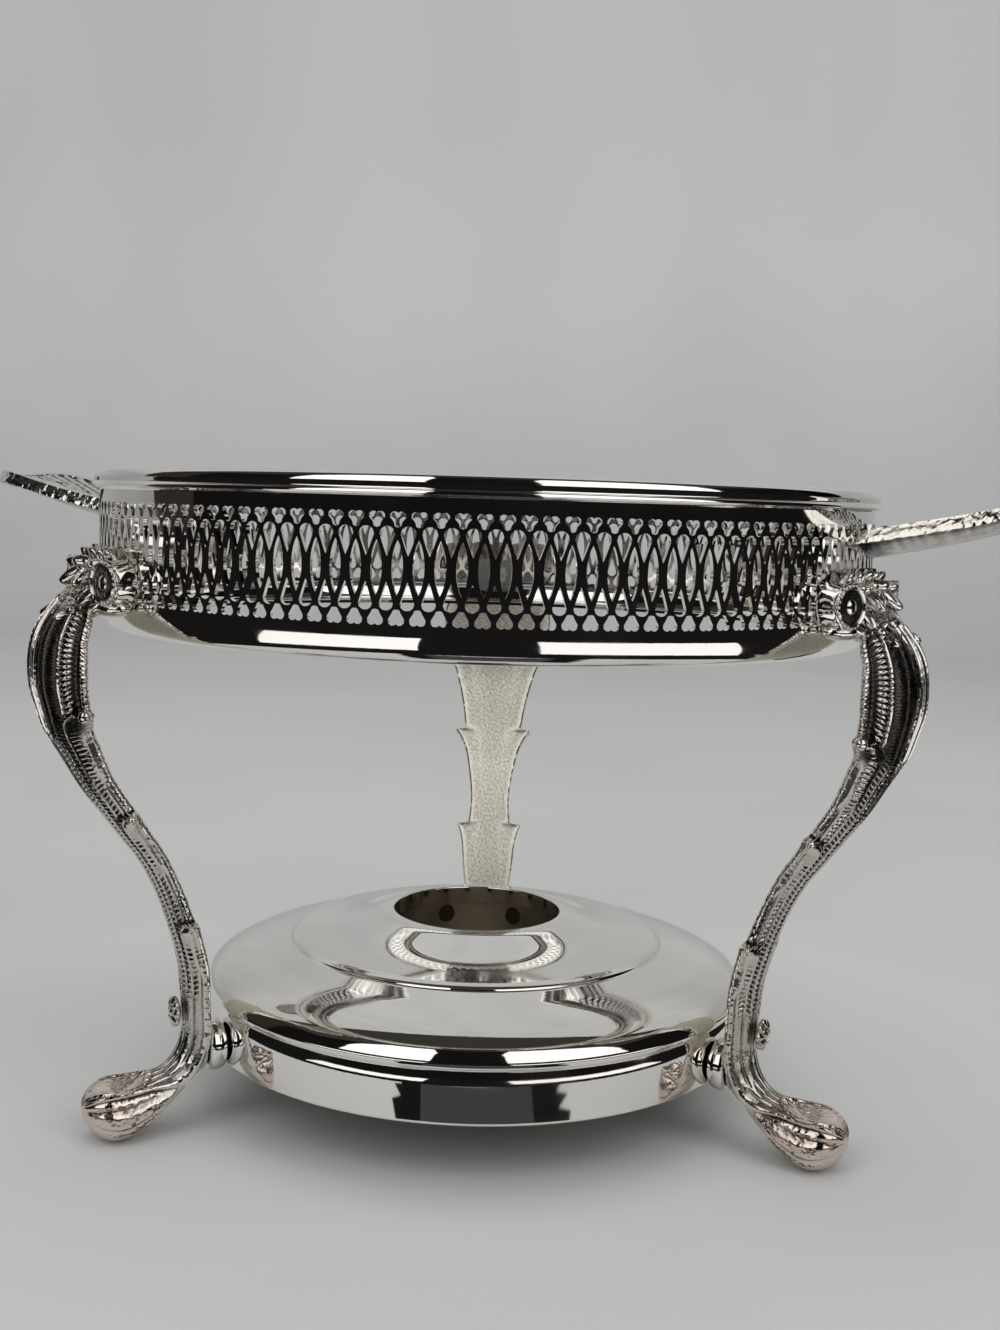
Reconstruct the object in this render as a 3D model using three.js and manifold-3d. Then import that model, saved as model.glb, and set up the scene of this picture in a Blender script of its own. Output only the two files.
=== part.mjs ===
// Silver-plated chafing dish stand: a pierced ring on three cast legs over a round burner base.
// Millimetres, +Z up. The stand is drawn about the ring's axis and moved to its own middle at the end.
import * as THREE from "three";
import { mergeVertices } from "three/addons/utils/BufferGeometryUtils.js";
import Module from "manifold-3d";

const wasm = await Module();
wasm.setup();

// Clearances and stock
const fitGap = 0.3; // between two pieces that touch
const sheet = 1.2; // wall of every rolled or spun piece
const boreClearance = 0.3; // round a screw, on the radius

// Ring: a rolled wall with its lower edge folded in, and a flat ledge on the fold that the dish sits on
const ringRadius = 120;
const ringBottom = 149.3;
const foldRadius = 4.5;
const foldLap = 2.5; // flat part of the fold, under the ledge
const ledgeReach = 12; // from the outside of the wall to the ledge's inner edge

// Pierced gallery: one tall lens opening in each repeat
const lensCount = 142;
const lensHeight = 13.5;
const lensShare = 0.5; // of the pitch from one lens to the next
const lensMiddle = 23.2; // above the ring's bottom

// Rim moulding: a flare that leaves the wall and rolls over into a domed collar
const rimHeight = 6;
const rimReach = 2.3; // past the wall
const rimFlare = 2.3; // height of the flare, from the wall to the widest edge
const rimInturn = 10; // from the wall in to the collar's inner edge
const rimSides = 64;

// Base: a spun dome of two tiers with a skirt, and a cup for the burner under its opening
const skirtRadius = 86;
const skirtBottom = 18.8;
const skirtHeight = 15;
const shoulderRise = 8.2; // from the top of the skirt to the edge of the outer tier
const openingRadius = 27;
const lipDrop = 4.6;
const tierRadius = 59; // where the inner tier steps down to the outer one
const tierStep = 1.9;
const tierRise = 16.9; // from the top of the skirt to the edge of the inner tier
const domeRise = 22.8; // from the top of the skirt to the opening's lip
const curlReach = 1.4; // past the skirt's wall, for the curl along its lower edge
const cupSetBack = 3; // from the opening's edge out to the cup's wall
const cupDepth = 28; // from the opening's lip to the cup's floor
const cupFlange = 6;
const ventCount = 8;
const ventRadius = 3.1;
const ventDrop = 9.4; // from the lip to the middle of a vent
const baseSides = 48;
const cupSides = 40;

// Legs: the spine is the middle of a leg's front, from the capital down to the toe
const legAzimuths = { left: 210, right: 330, back: 90 };
const ankleHeight = 34;
const ankleDepth = 5; // solid metal of a leg at the ankle
const bossRadius = 7.4;
const bossHeight = 1.7;
const spacerRadius = 8;
const spacerLength = 5.4;
const footThickness = 18;
const edgeThickness = 2.6;
const legSteps = 22;

// Each row: millimetres outside the straight line from ankle to ring, share of the way up that line,
// half width, how far the edges are set back from the spine, and how thick the metal is on the spine.
const legSpine = [
  [8.0, 0.985, 9.5, 2.5, 5.5],
  [16.0, 0.945, 15.5, 5.5, 5.2],
  [22.6, 0.893, 20.0, 8.0, 5.0],
  [26.3, 0.815, 21.8, 8.6, 4.8],
  [26.6, 0.735, 21.8, 8.4, 4.8],
  [23.6, 0.65, 19.5, 7.4, 4.6],
  [17.6, 0.55, 14.6, 5.8, 4.4],
  [11.0, 0.45, 12.6, 4.8, 4.2],
  [4.6, 0.35, 10.4, 4.2, 4.2],
  [0.4, 0.25, 9.0, 4.0, 4.2],
  [-1.2, 0.14, 9.8, 4.2, 4.6],
  [-0.4, 0.03, 8.4, 4.0, 5.0],
];
// The foot runs on from the ankle. Each row: millimetres outside the ankle, height as a share of the ankle's,
// half width, set-back of the edges, and thickness from the top down.
const footSpine = [
  [0.4, 0.8, 7.4, 4.6, 5.6],
  [3.6, 0.615, 7.2, 4.0, 7.6],
  [9.2, 0.535, 8.4, 3.0, 10.4],
  [16.0, 0.525, 9.8, 2.4, 14.0],
  [20.5, 0.53, 10.4, 2.2, 16.4],
];
const toeReach = 20.4; // from the ankle to the middle of the toe
const toeLength = 9.8;
const toeWidth = 10.6;
const toeFlat = 0.5; // taken off the bottom of the toe, so that the foot stands flat

// Capital of a leg: a curved plate against the wall with scrolls, a block and a button in front
const plateHalfAngle = 11.2;
const plateThickness = 2.6;
const plateHeight = 17;
const plateLift = 7.45; // from the ring's bottom to the plate's lower edge
const voluteRadius = 6;
const voluteOffset = 17.6;
const voluteLength = 7.4;
const voluteTurn = 18;
const abacusHeight = 3.2;
const abacusDepth = 7;
const blockReach = 8;
const blockHeight = 16.8;
const buttonRadius = 4.2;

// Screws, washers and rosettes
const screwRadius = 2;
const screwHeadOverhang = 1.8; // past the shank
const screwHeadHeight = 2.4;
const screwHeadGap = 0.4; // from a head to the curl along the skirt's lower edge
const screwBite = 7; // length held in the leg
const ringScrewDrop = 3.4; // below the capital's middle, clear of the lens openings
const washerHalfWidth = 9;
const washerHeight = 12;
const washerThickness = 1.5;
const rosetteDiscRadius = 4.8;
const rosetteDiscHeight = 3.2;
const rosetteFlat = 0.6; // share of the disc's radius that is flat behind
const rosetteDish = 0.45; // share of the disc's height that its edge stands forward
const rosetteHeight = 35.8;
const studRadius = 1.5;
const studLength = 3.6;

// Handles: a dished tongue on each side of the ring
const handleAzimuths = { right: -18, left: 162 };
const handleLength = 60; // from the wall to the tip
const handleHalfWidth = 24;
const handleDepth = 7.8; // at the root
const handleGap = 2.75; // between a capital and the handle above it
const handleDrop = 5.2; // from the top of the wall to the handle's edge at the root
const handleEdge = 3.2;
const handleDish = 1.4;
const handleBall = 2;
// Share of the way out, rise above the root, and shares of the full depth and half width
const handleLine = [
  [0, 0, 1, 1],
  [0.25, 3, 1, 1],
  [0.5, 6.1, 0.94, 0.99],
  [0.72, 9.3, 0.86, 0.93],
  [0.86, 10.8, 0.77, 0.8],
  [0.95, 10.6, 0.67, 0.58],
  [1, 9.6, 0.54, 0.22],
];

// Sizes worked out from the ones above
const degree = Math.PI / 180;
const ringSides = lensCount / 2; // two lenses on each facet of the wall
const capitalZ = ringBottom + plateLift + 0.45 * plateHeight;
const wallHeight = plateLift + plateHeight + handleGap + handleDepth + handleDrop;
const wallTop = ringBottom + wallHeight;
const wallInside = ringRadius - sheet;
const skirtTop = skirtBottom + skirtHeight;
const lipZ = skirtTop + domeRise;
const lipR = openingRadius + sheet;
const tierZ = skirtTop + tierRise;
const spacerStart = skirtRadius + fitGap;
const bossFace = spacerStart + spacerLength + fitGap;
const ankleRadius = bossFace + bossHeight + ankleDepth;
const ringScrewZ = capitalZ - ringScrewDrop;
const screwHeadRadius = screwRadius + screwHeadOverhang;
const screwZ = skirtBottom + sheet + screwHeadGap + screwHeadRadius;

// One outward-facing geometry with shared vertices and position only
function plain(geometry) {
  const bare = new THREE.BufferGeometry();
  const source = geometry.index ? geometry.toNonIndexed() : geometry;
  bare.setAttribute("position", source.getAttribute("position").clone());
  const merged = mergeVertices(bare, 1e-4);
  if (signedVolume(merged) < 0) {
    const index = merged.index.array;
    for (let i = 0; i < index.length; i += 3) {
      [index[i + 1], index[i + 2]] = [index[i + 2], index[i + 1]];
    }
  }
  return merged;
}

function signedVolume(geometry) {
  const position = geometry.getAttribute("position");
  const index = geometry.index.array;
  const a = new THREE.Vector3();
  const b = new THREE.Vector3();
  const c = new THREE.Vector3();
  let volume = 0;
  for (let i = 0; i < index.length; i += 3) {
    a.fromBufferAttribute(position, index[i]);
    b.fromBufferAttribute(position, index[i + 1]);
    c.fromBufferAttribute(position, index[i + 2]);
    volume += a.dot(b.cross(c)) / 6;
  }
  return volume;
}

function solid(geometry) {
  const ready = plain(geometry);
  const vertProperties = new Float32Array(ready.getAttribute("position").array);
  const triVerts = new Uint32Array(ready.index.array);
  return new wasm.Manifold(new wasm.Mesh({ numProp: 3, vertProperties, triVerts }));
}

function surface(body) {
  const mesh = body.getMesh();
  const geometry = new THREE.BufferGeometry();
  geometry.setAttribute("position", new THREE.BufferAttribute(new Float32Array(mesh.vertProperties), 3));
  geometry.setIndex(new THREE.BufferAttribute(new Uint32Array(mesh.triVerts), 1));
  const faceted = geometry.toNonIndexed();
  faceted.computeVertexNormals();
  return faceted;
}

function joined(geometries) {
  return wasm.Manifold.union(geometries.map(solid));
}

// A profile of [radius, height] pairs turned about +Z. It starts and ends on the axis, or closes on itself.
function turned(profile, sides) {
  const points = profile.map(([r, z]) => new THREE.Vector2(r, z));
  if (profile[0][0] > 0) {
    points.push(points[0].clone());
  }
  return new THREE.LatheGeometry(points, sides).rotateX(Math.PI / 2);
}

// The same, lying along +X from the given radius outwards, for pieces on a radial axis
function turnedOutwards(profile, sides, height) {
  return turned(profile, sides).rotateY(Math.PI / 2).translate(0, 0, height);
}

function arc(centreR, centreZ, radius, from, to, steps) {
  const points = [];
  for (let i = 0; i <= steps; i++) {
    const angle = (from + ((to - from) * i) / steps) * degree;
    points.push([centreR + radius * Math.cos(angle), centreZ + radius * Math.sin(angle)]);
  }
  return points;
}

// A plate bent round the ring's axis, from one radius to another, in the middle of +X
function bentPlate(inner, outer, halfAngle, low, high, steps) {
  const angles = Array.from({ length: steps + 1 }, (_, i) => halfAngle * ((2 * i) / steps - 1));
  const outside = angles.map((a) => new THREE.Vector2(outer * Math.cos(a), outer * Math.sin(a)));
  const inside = angles.map((a) => new THREE.Vector2(inner * Math.cos(a), inner * Math.sin(a)));
  const outline = new THREE.Shape([...outside, ...inside.reverse()]);
  return new THREE.ExtrudeGeometry(outline, { depth: high - low, bevelEnabled: false }).translate(0, 0, low);
}

// A solid cylinder on the ring's axis, to clear the space that the ring takes up
function ringSpace(radius, low, high, sides) {
  return turned([[0, low], [radius, low], [radius, high], [0, high]], sides);
}

// A closed skin over rings of equal point count, with a fan on each end
function lofted(rings) {
  const count = rings[0].length;
  const points = rings.flat();
  const index = [];
  for (let i = 0; i < rings.length - 1; i++) {
    for (let j = 0; j < count; j++) {
      const a = i * count + j;
      const b = i * count + ((j + 1) % count);
      index.push(a, b, b + count, a, b + count, a + count);
    }
  }
  [0, rings.length - 1].forEach((ring, end) => {
    const middle = points.length;
    const centre = new THREE.Vector3();
    rings[ring].forEach((point) => centre.addScaledVector(point, 1 / count));
    points.push(centre);
    for (let j = 0; j < count; j++) {
      const a = ring * count + j;
      const b = ring * count + ((j + 1) % count);
      index.push(...(end ? [a, b, middle] : [b, a, middle]));
    }
  });
  return new THREE.BufferGeometry().setFromPoints(points).setIndex(index);
}

function material(color, roughness, metalness = 1) {
  return new THREE.MeshStandardMaterial({ color, roughness, metalness });
}

const stand = new THREE.Group();

function add(name, geometry, finish) {
  const mesh = new THREE.Mesh(geometry, finish);
  mesh.name = name;
  stand.add(mesh);
  return mesh;
}

const polished = material(0xd9d7d2, 0.12);
const castSilver = material(0xb9b5ac, 0.35);
const burnerTin = material(0x8f8778, 0.45);
const steel = material(0x9a9a98, 0.3);

// Ring wall with its lower edge folded in
function ringWall() {
  const foldR = ringRadius - foldRadius;
  const foldZ = ringBottom + foldRadius;
  const outside = arc(foldR, foldZ, foldRadius, 0, -90, 2);
  const inside = arc(foldR, foldZ, foldRadius - sheet, -90, 0, 2);
  return turned(
    [
      [ringRadius, wallTop],
      ...outside,
      [foldR - foldLap, ringBottom],
      [foldR - foldLap, ringBottom + sheet],
      ...inside,
      [wallInside, wallTop],
    ],
    ringSides,
  );
}

// A lens-shaped cutter through the wall, pointing out along +X
function lensCutter() {
  const half = (lensShare * Math.PI * ringRadius) / lensCount;
  const tall = lensHeight / 2;
  const outline = new THREE.Shape();
  outline.moveTo(0, -tall);
  [-0.45, 0.45].forEach((share) => outline.lineTo(half, share * tall));
  outline.lineTo(0, tall);
  [0.45, -0.45].forEach((share) => outline.lineTo(-half, share * tall));
  const depth = 4 * sheet;
  return new THREE.ExtrudeGeometry(outline, { depth, bevelEnabled: false })
    .rotateX(Math.PI / 2)
    .rotateZ(Math.PI / 2)
    .translate(ringRadius - 2.5 * sheet, 0, ringBottom + lensMiddle);
}

function screwBore(inner, outer, height, azimuth) {
  const length = outer - inner;
  return new THREE.CylinderGeometry(screwRadius + boreClearance, screwRadius + boreClearance, length, 12)
    .rotateZ(Math.PI / 2)
    .translate(inner + length / 2, 0, height)
    .rotateZ(azimuth * degree);
}

const lens = lensCutter();
const lensTurn = 180 / lensCount; // keeps each lens clear of the wall's corners
const galleryCutters = Array.from({ length: lensCount }, (_, i) =>
  lens.clone().rotateZ((lensTurn + (i * 360) / lensCount) * degree),
);
const ringBores = Object.values(legAzimuths).map((azimuth) =>
  screwBore(wallInside - sheet, ringRadius + sheet, ringScrewZ, azimuth),
);
add("gallery_ring", surface(solid(ringWall()).subtract(joined([...galleryCutters, ...ringBores]))), polished);

// Flat ring that the dish sits on, soldered to the top of the fold
function dishLedge() {
  const inner = ringRadius - ledgeReach;
  const outer = ringRadius - foldRadius;
  const low = ringBottom + sheet + fitGap;
  return turned([[inner, low], [outer, low], [outer, low + sheet], [inner, low + sheet]], ringSides);
}
add("dish_ledge", plain(dishLedge()), polished);

// Rim moulding: the flare, the collar over it, and back along the inside
function rimMoulding() {
  const bottom = wallTop + fitGap;
  const top = bottom + rimHeight;
  const edgeR = ringRadius + rimReach;
  const edgeZ = bottom + rimFlare;
  const innerR = ringRadius - rimInturn;
  const across = edgeR - innerR;
  return turned(
    [
      [ringRadius + 0.2, bottom],
      [edgeR, edgeZ],
      [edgeR - 0.2 * across, top - 0.26 * (top - edgeZ)],
      [edgeR - 0.5 * across, top - 0.05],
      [edgeR - 0.85 * across, top],
      [innerR, top - 0.6 * sheet],
      [innerR, top - 1.8 * sheet],
      [innerR + 0.6 * sheet, top - 1.8 * sheet],
      [innerR + sheet, top - 1.1 * sheet],
      [edgeR - 0.5 * across, top - 1.1 * sheet],
      [ringRadius - sheet, edgeZ + 0.2 * (top - edgeZ)],
      [ringRadius - sheet, bottom],
    ],
    rimSides,
  );
}
add("top_rim", plain(rimMoulding()), polished);

// Base dome: profile from the lip over both tiers and down the skirt, then back along its inside
const tierUnderside = [
  [tierRadius - 1.2, tierZ - sheet],
  [lipR + 0.5 * sheet, lipZ - 1.1 * sheet],
];
function domeProfile() {
  const edgeR = skirtRadius - 2 * sheet;
  const edgeZ = skirtTop + shoulderRise;
  const stepZ = tierZ - tierStep;
  const outside = [
    [openingRadius, lipZ - lipDrop],
    [openingRadius, lipZ - 0.5 * sheet],
    [lipR, lipZ],
    [tierRadius, tierZ],
    [tierRadius + 1.2, stepZ],
    [edgeR, edgeZ],
    [skirtRadius + 0.6, skirtTop + 0.45 * shoulderRise],
    [skirtRadius + 0.7, skirtTop + 0.2 * shoulderRise],
    [skirtRadius, skirtTop],
    [skirtRadius, skirtBottom],
  ];
  const inside = [
    [skirtRadius - sheet - curlReach, skirtBottom],
    [skirtRadius - sheet - curlReach, skirtBottom + sheet],
    [skirtRadius - sheet, skirtBottom + sheet],
    [skirtRadius - sheet, skirtTop + 0.2 * shoulderRise],
    [edgeR - 0.4, edgeZ - sheet],
    [tierRadius, stepZ - sheet],
    ...tierUnderside,
    [lipR, lipZ - lipDrop],
  ];
  return [...outside, ...inside];
}
const baseBores = Object.values(legAzimuths).map((azimuth) =>
  screwBore(skirtRadius - 3 * sheet, skirtRadius + sheet, screwZ, azimuth),
);
add("base_dome", surface(solid(turned(domeProfile(), baseSides)).subtract(joined(baseBores))), polished);

// Burner cup: its flange lies against the underside of the inner tier
const cupRadius = openingRadius + cupSetBack;
function cupProfile() {
  const [[lowR, lowZ], [highR, highZ]] = tierUnderside;
  const seat = (r) => highZ + ((lowZ - highZ) * (r - highR)) / (lowR - highR) - fitGap;
  const wallR = cupRadius + sheet;
  const flangeR = wallR + cupFlange;
  const floorZ = lipZ - cupDepth;
  return [
    [0, floorZ],
    [cupRadius - 3, floorZ],
    [cupRadius, floorZ + 3],
    [cupRadius, seat(cupRadius)],
    [flangeR, seat(flangeR)],
    [flangeR, seat(flangeR) - sheet],
    [wallR, seat(wallR) - 1.2 * sheet],
    [wallR, floorZ + 3 - 0.5 * sheet],
    [cupRadius - 3 + 0.5 * sheet, floorZ - sheet],
    [0, floorZ - sheet],
  ];
}
const vents = Array.from({ length: ventCount }, (_, i) =>
  new THREE.CylinderGeometry(ventRadius, ventRadius, 4 * sheet, 10)
    .rotateZ(Math.PI / 2)
    .translate(cupRadius + sheet / 2, 0, lipZ - ventDrop)
    .rotateZ(((i + 0.5) * 2 * Math.PI) / ventCount),
);
add("burner_cup", surface(solid(turned(cupProfile(), cupSides)).subtract(joined(vents))), burnerTin);

// Legs, drawn along +X and turned to their places
function legStations() {
  const rise = capitalZ - ankleHeight;
  const up = legSpine.map(([out, share]) => [ankleRadius + share * (ringRadius - ankleRadius) + out, share]);
  const upper = up.map(([r, share]) => new THREE.Vector3(r, 0, ankleHeight + share * rise));
  const lower = footSpine.map(([out, share]) => new THREE.Vector3(ankleRadius + out, 0, share * ankleHeight));
  const sizes = [...legSpine, ...footSpine].map((row) => new THREE.Vector3(row[2], row[3], row[4]));
  const line = new THREE.CatmullRomCurve3([...upper, ...lower]);
  const size = new THREE.CatmullRomCurve3(sizes);
  return Array.from({ length: legSteps + 1 }, (_, i) => {
    const t = i / legSteps;
    const tangent = line.getTangent(t);
    return {
      spine: line.getPoint(t),
      outward: new THREE.Vector3(-tangent.z, 0, tangent.x),
      size: size.getPoint(t),
    };
  });
}

// Radius of a leg's front on its spine, at a height between two stations
function legFront(height) {
  const spine = legStations().map((station) => station.spine);
  const below = spine.findIndex((point) => point.z <= height);
  const share = (spine[below - 1].z - height) / (spine[below - 1].z - spine[below].z);
  return spine[below - 1].x + share * (spine[below].x - spine[below - 1].x);
}

// The rosette's back just clears the leg, from its flat middle out to its edge
const rosetteClear = [-1, -rosetteFlat, 0, rosetteFlat, 1].map((q) => {
  const forward = (rosetteDish * rosetteDiscHeight * Math.max(0, Math.abs(q) - rosetteFlat)) / (1 - rosetteFlat);
  return legFront(rosetteHeight + q * rosetteDiscRadius) - forward;
});
const rosetteSeat = Math.max(...rosetteClear) + fitGap;

function legBody() {
  const across = [-1, -0.55, 0, 0.55, 1];
  const rings = legStations().map(({ spine, outward, size }) => {
    const [halfWidth, setBack, metal] = size.toArray();
    const at = (share, depth) =>
      spine.clone().addScaledVector(outward, -depth).add(new THREE.Vector3(0, share * halfWidth, 0));
    const front = across.map((q) => at(q, setBack * q * q));
    const behind = Math.max(edgeThickness, metal - setBack);
    const back = across.map((q) => at(-0.96 * q, metal + (setBack + behind - metal) * q * q));
    return [...front, ...back];
  });
  return lofted(rings);
}

function toe() {
  return new THREE.SphereGeometry(1, 12, 8)
    .rotateX(Math.PI / 2)
    .scale(toeLength, toeWidth, footThickness / 2)
    .translate(ankleRadius + toeReach, 0, footThickness / 2 - toeFlat);
}

// Round boss behind the ankle, against the spacer
function boss() {
  const depth = bossHeight + ankleDepth - 1;
  return turnedOutwards(
    [
      [0, bossFace],
      [bossRadius - 0.8, bossFace],
      [bossRadius, bossFace + 0.8],
      [bossRadius - 1.4, bossFace + depth],
      [0, bossFace + depth],
    ],
    16,
    screwZ,
  );
}

// Curved plate of the capital against the wall
function capitalPlate() {
  const inner = ringRadius + fitGap;
  const low = ringBottom + plateLift;
  return bentPlate(inner, inner + plateThickness, plateHalfAngle * degree, low, low + plateHeight, 6);
}

function volute(side) {
  return new THREE.CylinderGeometry(voluteRadius, voluteRadius, voluteLength, 12)
    .rotateZ(Math.PI / 2)
    .rotateZ(side * voluteTurn * degree)
    .translate(ringRadius + plateThickness + 0.3 * voluteLength, side * voluteOffset, capitalZ);
}

function capitalBody() {
  const block = new THREE.SphereGeometry(1, 10, 6)
    .rotateX(Math.PI / 2)
    .scale(blockReach, voluteOffset - 2, blockHeight / 2)
    .translate(ringRadius + plateThickness, 0, capitalZ - 1.5);
  const button = new THREE.SphereGeometry(buttonRadius, 10, 6)
    .translate(ringRadius + blockReach, 0, capitalZ);
  const abacus = new THREE.BoxGeometry(abacusDepth, 2 * voluteOffset, abacusHeight)
    .translate(ringRadius + fitGap + abacusDepth / 2, 0, capitalZ + voluteRadius);
  return [block, button, abacus];
}

function legCasting() {
  const pieces = [legBody(), toe(), boss(), volute(-1), volute(1), ...capitalBody()];
  const floor = new THREE.BoxGeometry(100, 100, 50).translate(ankleRadius, 0, -25);
  const plateMiddle = ringRadius + fitGap + plateThickness / 2;
  const wallSpace = ringSpace(plateMiddle, ringBottom - 1, wallTop, rimSides);
  const screwEnd = bossFace + screwBite;
  const bores = [
    screwBore(bossFace - 1, screwEnd + fitGap, screwZ, 0),
    screwBore(ringRadius - 1, ringRadius + screwBite + fitGap, ringScrewZ, 0),
    new THREE.CylinderGeometry(studRadius + boreClearance, studRadius + boreClearance, studLength + 2, 10)
      .rotateZ(Math.PI / 2)
      .translate(rosetteSeat - studLength / 2 + 1 - fitGap, 0, rosetteHeight),
  ];
  const body = joined(pieces).subtract(joined([floor, wallSpace]));
  return surface(body.add(solid(capitalPlate())).subtract(joined(bores)));
}

// Barrel between the skirt and the leg, bored for its screw
function spacer() {
  const end = spacerStart + spacerLength;
  const bore = screwRadius + boreClearance;
  const middle = (spacerStart + end) / 2;
  return turnedOutwards(
    [
      [bore, spacerStart],
      [0.62 * spacerRadius, spacerStart],
      [0.9 * spacerRadius, spacerStart + 0.2 * spacerLength],
      [spacerRadius, middle],
      [0.9 * spacerRadius, end - 0.2 * spacerLength],
      [0.7 * spacerRadius, end],
      [bore, end],
    ],
    20,
    screwZ,
  );
}

// A round-headed screw with its head at the given radius, pointing outwards
function screw(headFace, shankEnd, height) {
  return turnedOutwards(
    [
      [0, headFace - screwHeadHeight],
      [0.6 * screwHeadRadius, headFace - 0.85 * screwHeadHeight],
      [screwHeadRadius, headFace - 0.35 * screwHeadHeight],
      [screwHeadRadius, headFace],
      [screwRadius, headFace],
      [screwRadius, shankEnd],
      [0, shankEnd],
    ],
    12,
    height,
  );
}

// Petalled rosette on the front of the ankle, with a stud behind it
function rosette() {
  return turnedOutwards(
    [
      [0, rosetteSeat - studLength],
      [studRadius, rosetteSeat - studLength],
      [studRadius, rosetteSeat],
      [rosetteFlat * rosetteDiscRadius, rosetteSeat],
      [rosetteDiscRadius, rosetteSeat + rosetteDish * rosetteDiscHeight],
      [rosetteDiscRadius, rosetteSeat + 0.7 * rosetteDiscHeight],
      [0.5 * rosetteDiscRadius, rosetteSeat + rosetteDiscHeight],
      [0, rosetteSeat + 0.85 * rosetteDiscHeight],
    ],
    18,
    rosetteHeight,
  );
}

// Plate inside the wall, so that the screw doesn't pull through the pierced metal
function washer() {
  const outer = wallInside - fitGap;
  const inner = outer - washerThickness;
  const low = ringScrewZ - washerHeight / 2;
  const plate = bentPlate(inner, outer, washerHalfWidth / outer, low, low + washerHeight, 4);
  return surface(solid(plate).subtract(solid(screwBore(inner - 2, outer + 2, ringScrewZ, 0))));
}

const castLeg = legCasting();
const ringScrewHead = wallInside - 2 * fitGap - washerThickness;
const baseScrewHead = skirtRadius - sheet - 2 * fitGap; // the wall curves in towards the head's edge
for (const [place, azimuth] of Object.entries(legAzimuths)) {
  const turn = azimuth * degree;
  const pieces = [
    ["leg_" + place, castLeg, castSilver],
    ["leg_washer_" + place, washer(), steel],
    ["ring_screw_" + place, plain(screw(ringScrewHead, ringRadius + screwBite, ringScrewZ)), steel],
    ["base_spacer_" + place, plain(spacer()), polished],
    ["base_screw_" + place, plain(screw(baseScrewHead, bossFace + screwBite, screwZ)), steel],
    ["rosette_" + place, plain(rosette()), castSilver],
  ];
  for (const [name, geometry, finish] of pieces) {
    add(name, geometry, finish).rotation.z = turn;
  }
}

// Handles, drawn along +X and cut to the wall
function handleCasting() {
  const root = ringRadius - sheet; // cut back to the wall further down
  const tip = ringRadius + handleLength;
  const rootZ = wallTop - handleDrop;
  const across = [-1, -0.6, 0, 0.6, 1];
  const rings = handleLine.map(([share, rise, depthShare, widthShare]) => {
    const r = root + share * (tip - root);
    const z = rootZ + rise;
    const depth = depthShare * handleDepth;
    const half = widthShare * handleHalfWidth;
    const top = across.map((q) => new THREE.Vector3(r, q * half, z - handleDish * (1 - q * q)));
    const under = across.map(
      (q) => new THREE.Vector3(r, -q * 0.97 * half, z - handleEdge - (depth - handleEdge) * (1 - q * q)),
    );
    return [...top, ...under];
  });
  const [, tipRise, tipShare] = handleLine[handleLine.length - 1];
  const ball = new THREE.SphereGeometry(handleBall, 10, 8)
    .translate(tip + 0.6 * handleBall, 0, rootZ + tipRise - (tipShare * handleDepth) / 2);
  const wall = ringSpace(ringRadius + fitGap, ringBottom, wallTop + rimHeight, ringSides);
  return surface(joined([lofted(rings), ball]).subtract(solid(wall)));
}

const castHandle = handleCasting();
for (const [place, azimuth] of Object.entries(handleAzimuths)) {
  add("handle_" + place, castHandle, castSilver).rotation.z = azimuth * degree;
}

// The origin is the middle of the stand's own box, on the surface that it stands on
stand.updateMatrixWorld(true);
const box = new THREE.Box3().setFromObject(stand, true);
stand.position.set(-(box.min.x + box.max.x) / 2, -(box.min.y + box.max.y) / 2, -box.min.z);

export default stand;
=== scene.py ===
# %% [markdown]
# # A silver-plated chafing dish stand
# The stand is a pierced ring that a round dish sits in. Three cast legs carry it over a spun base
# with a cup for the burner. Sheet pieces are turned or pierced here, castings are sculpted as relief,
# and each one takes the place that its solid has in the frame.

# %% Load the frame
import math

import bmesh
import bpy
from mathutils import Matrix, Vector, noise


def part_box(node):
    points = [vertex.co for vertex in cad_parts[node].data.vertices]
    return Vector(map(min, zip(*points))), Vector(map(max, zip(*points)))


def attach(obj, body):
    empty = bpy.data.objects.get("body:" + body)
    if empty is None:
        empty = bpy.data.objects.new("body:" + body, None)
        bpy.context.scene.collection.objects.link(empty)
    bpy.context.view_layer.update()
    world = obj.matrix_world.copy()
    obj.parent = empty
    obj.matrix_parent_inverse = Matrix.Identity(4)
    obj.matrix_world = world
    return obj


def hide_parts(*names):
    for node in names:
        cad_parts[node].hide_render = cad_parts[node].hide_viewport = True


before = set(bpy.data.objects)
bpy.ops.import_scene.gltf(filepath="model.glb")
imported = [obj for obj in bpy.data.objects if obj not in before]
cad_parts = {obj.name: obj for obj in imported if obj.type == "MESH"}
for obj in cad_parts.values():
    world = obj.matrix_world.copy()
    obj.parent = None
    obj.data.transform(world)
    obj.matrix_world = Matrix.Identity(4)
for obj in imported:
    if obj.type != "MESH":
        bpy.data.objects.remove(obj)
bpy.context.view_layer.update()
print("nodes in the frame:", len(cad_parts))

# %% [markdown]
# Almost every piece is round about one upright axis, the ring's. So each is drawn about that axis in
# millimetres, as a maker would measure it, and one helper scales it and moves it to its place.

# %% Axis and finishing
MM = 0.001
DEGREE = math.pi / 180
rim_low, rim_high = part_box("top_rim")
AXIS = Vector(((rim_low.x + rim_high.x) / 2, (rim_low.y + rim_high.y) / 2, 0))
SHARP = 38 * DEGREE


def shown(name, bm, material):
    """Puts a bmesh in the scene as an object with one material."""
    mesh = bpy.data.meshes.new(name)
    bm.to_mesh(mesh)
    bm.free()
    mesh.materials.append(material)
    thing = bpy.data.objects.new(name, mesh)
    bpy.context.scene.collection.objects.link(thing)
    return thing


def smoothed(mesh):
    """Shades every face of a mesh smooth."""
    mesh.polygons.foreach_set("use_smooth", [True] * len(mesh.polygons))


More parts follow.
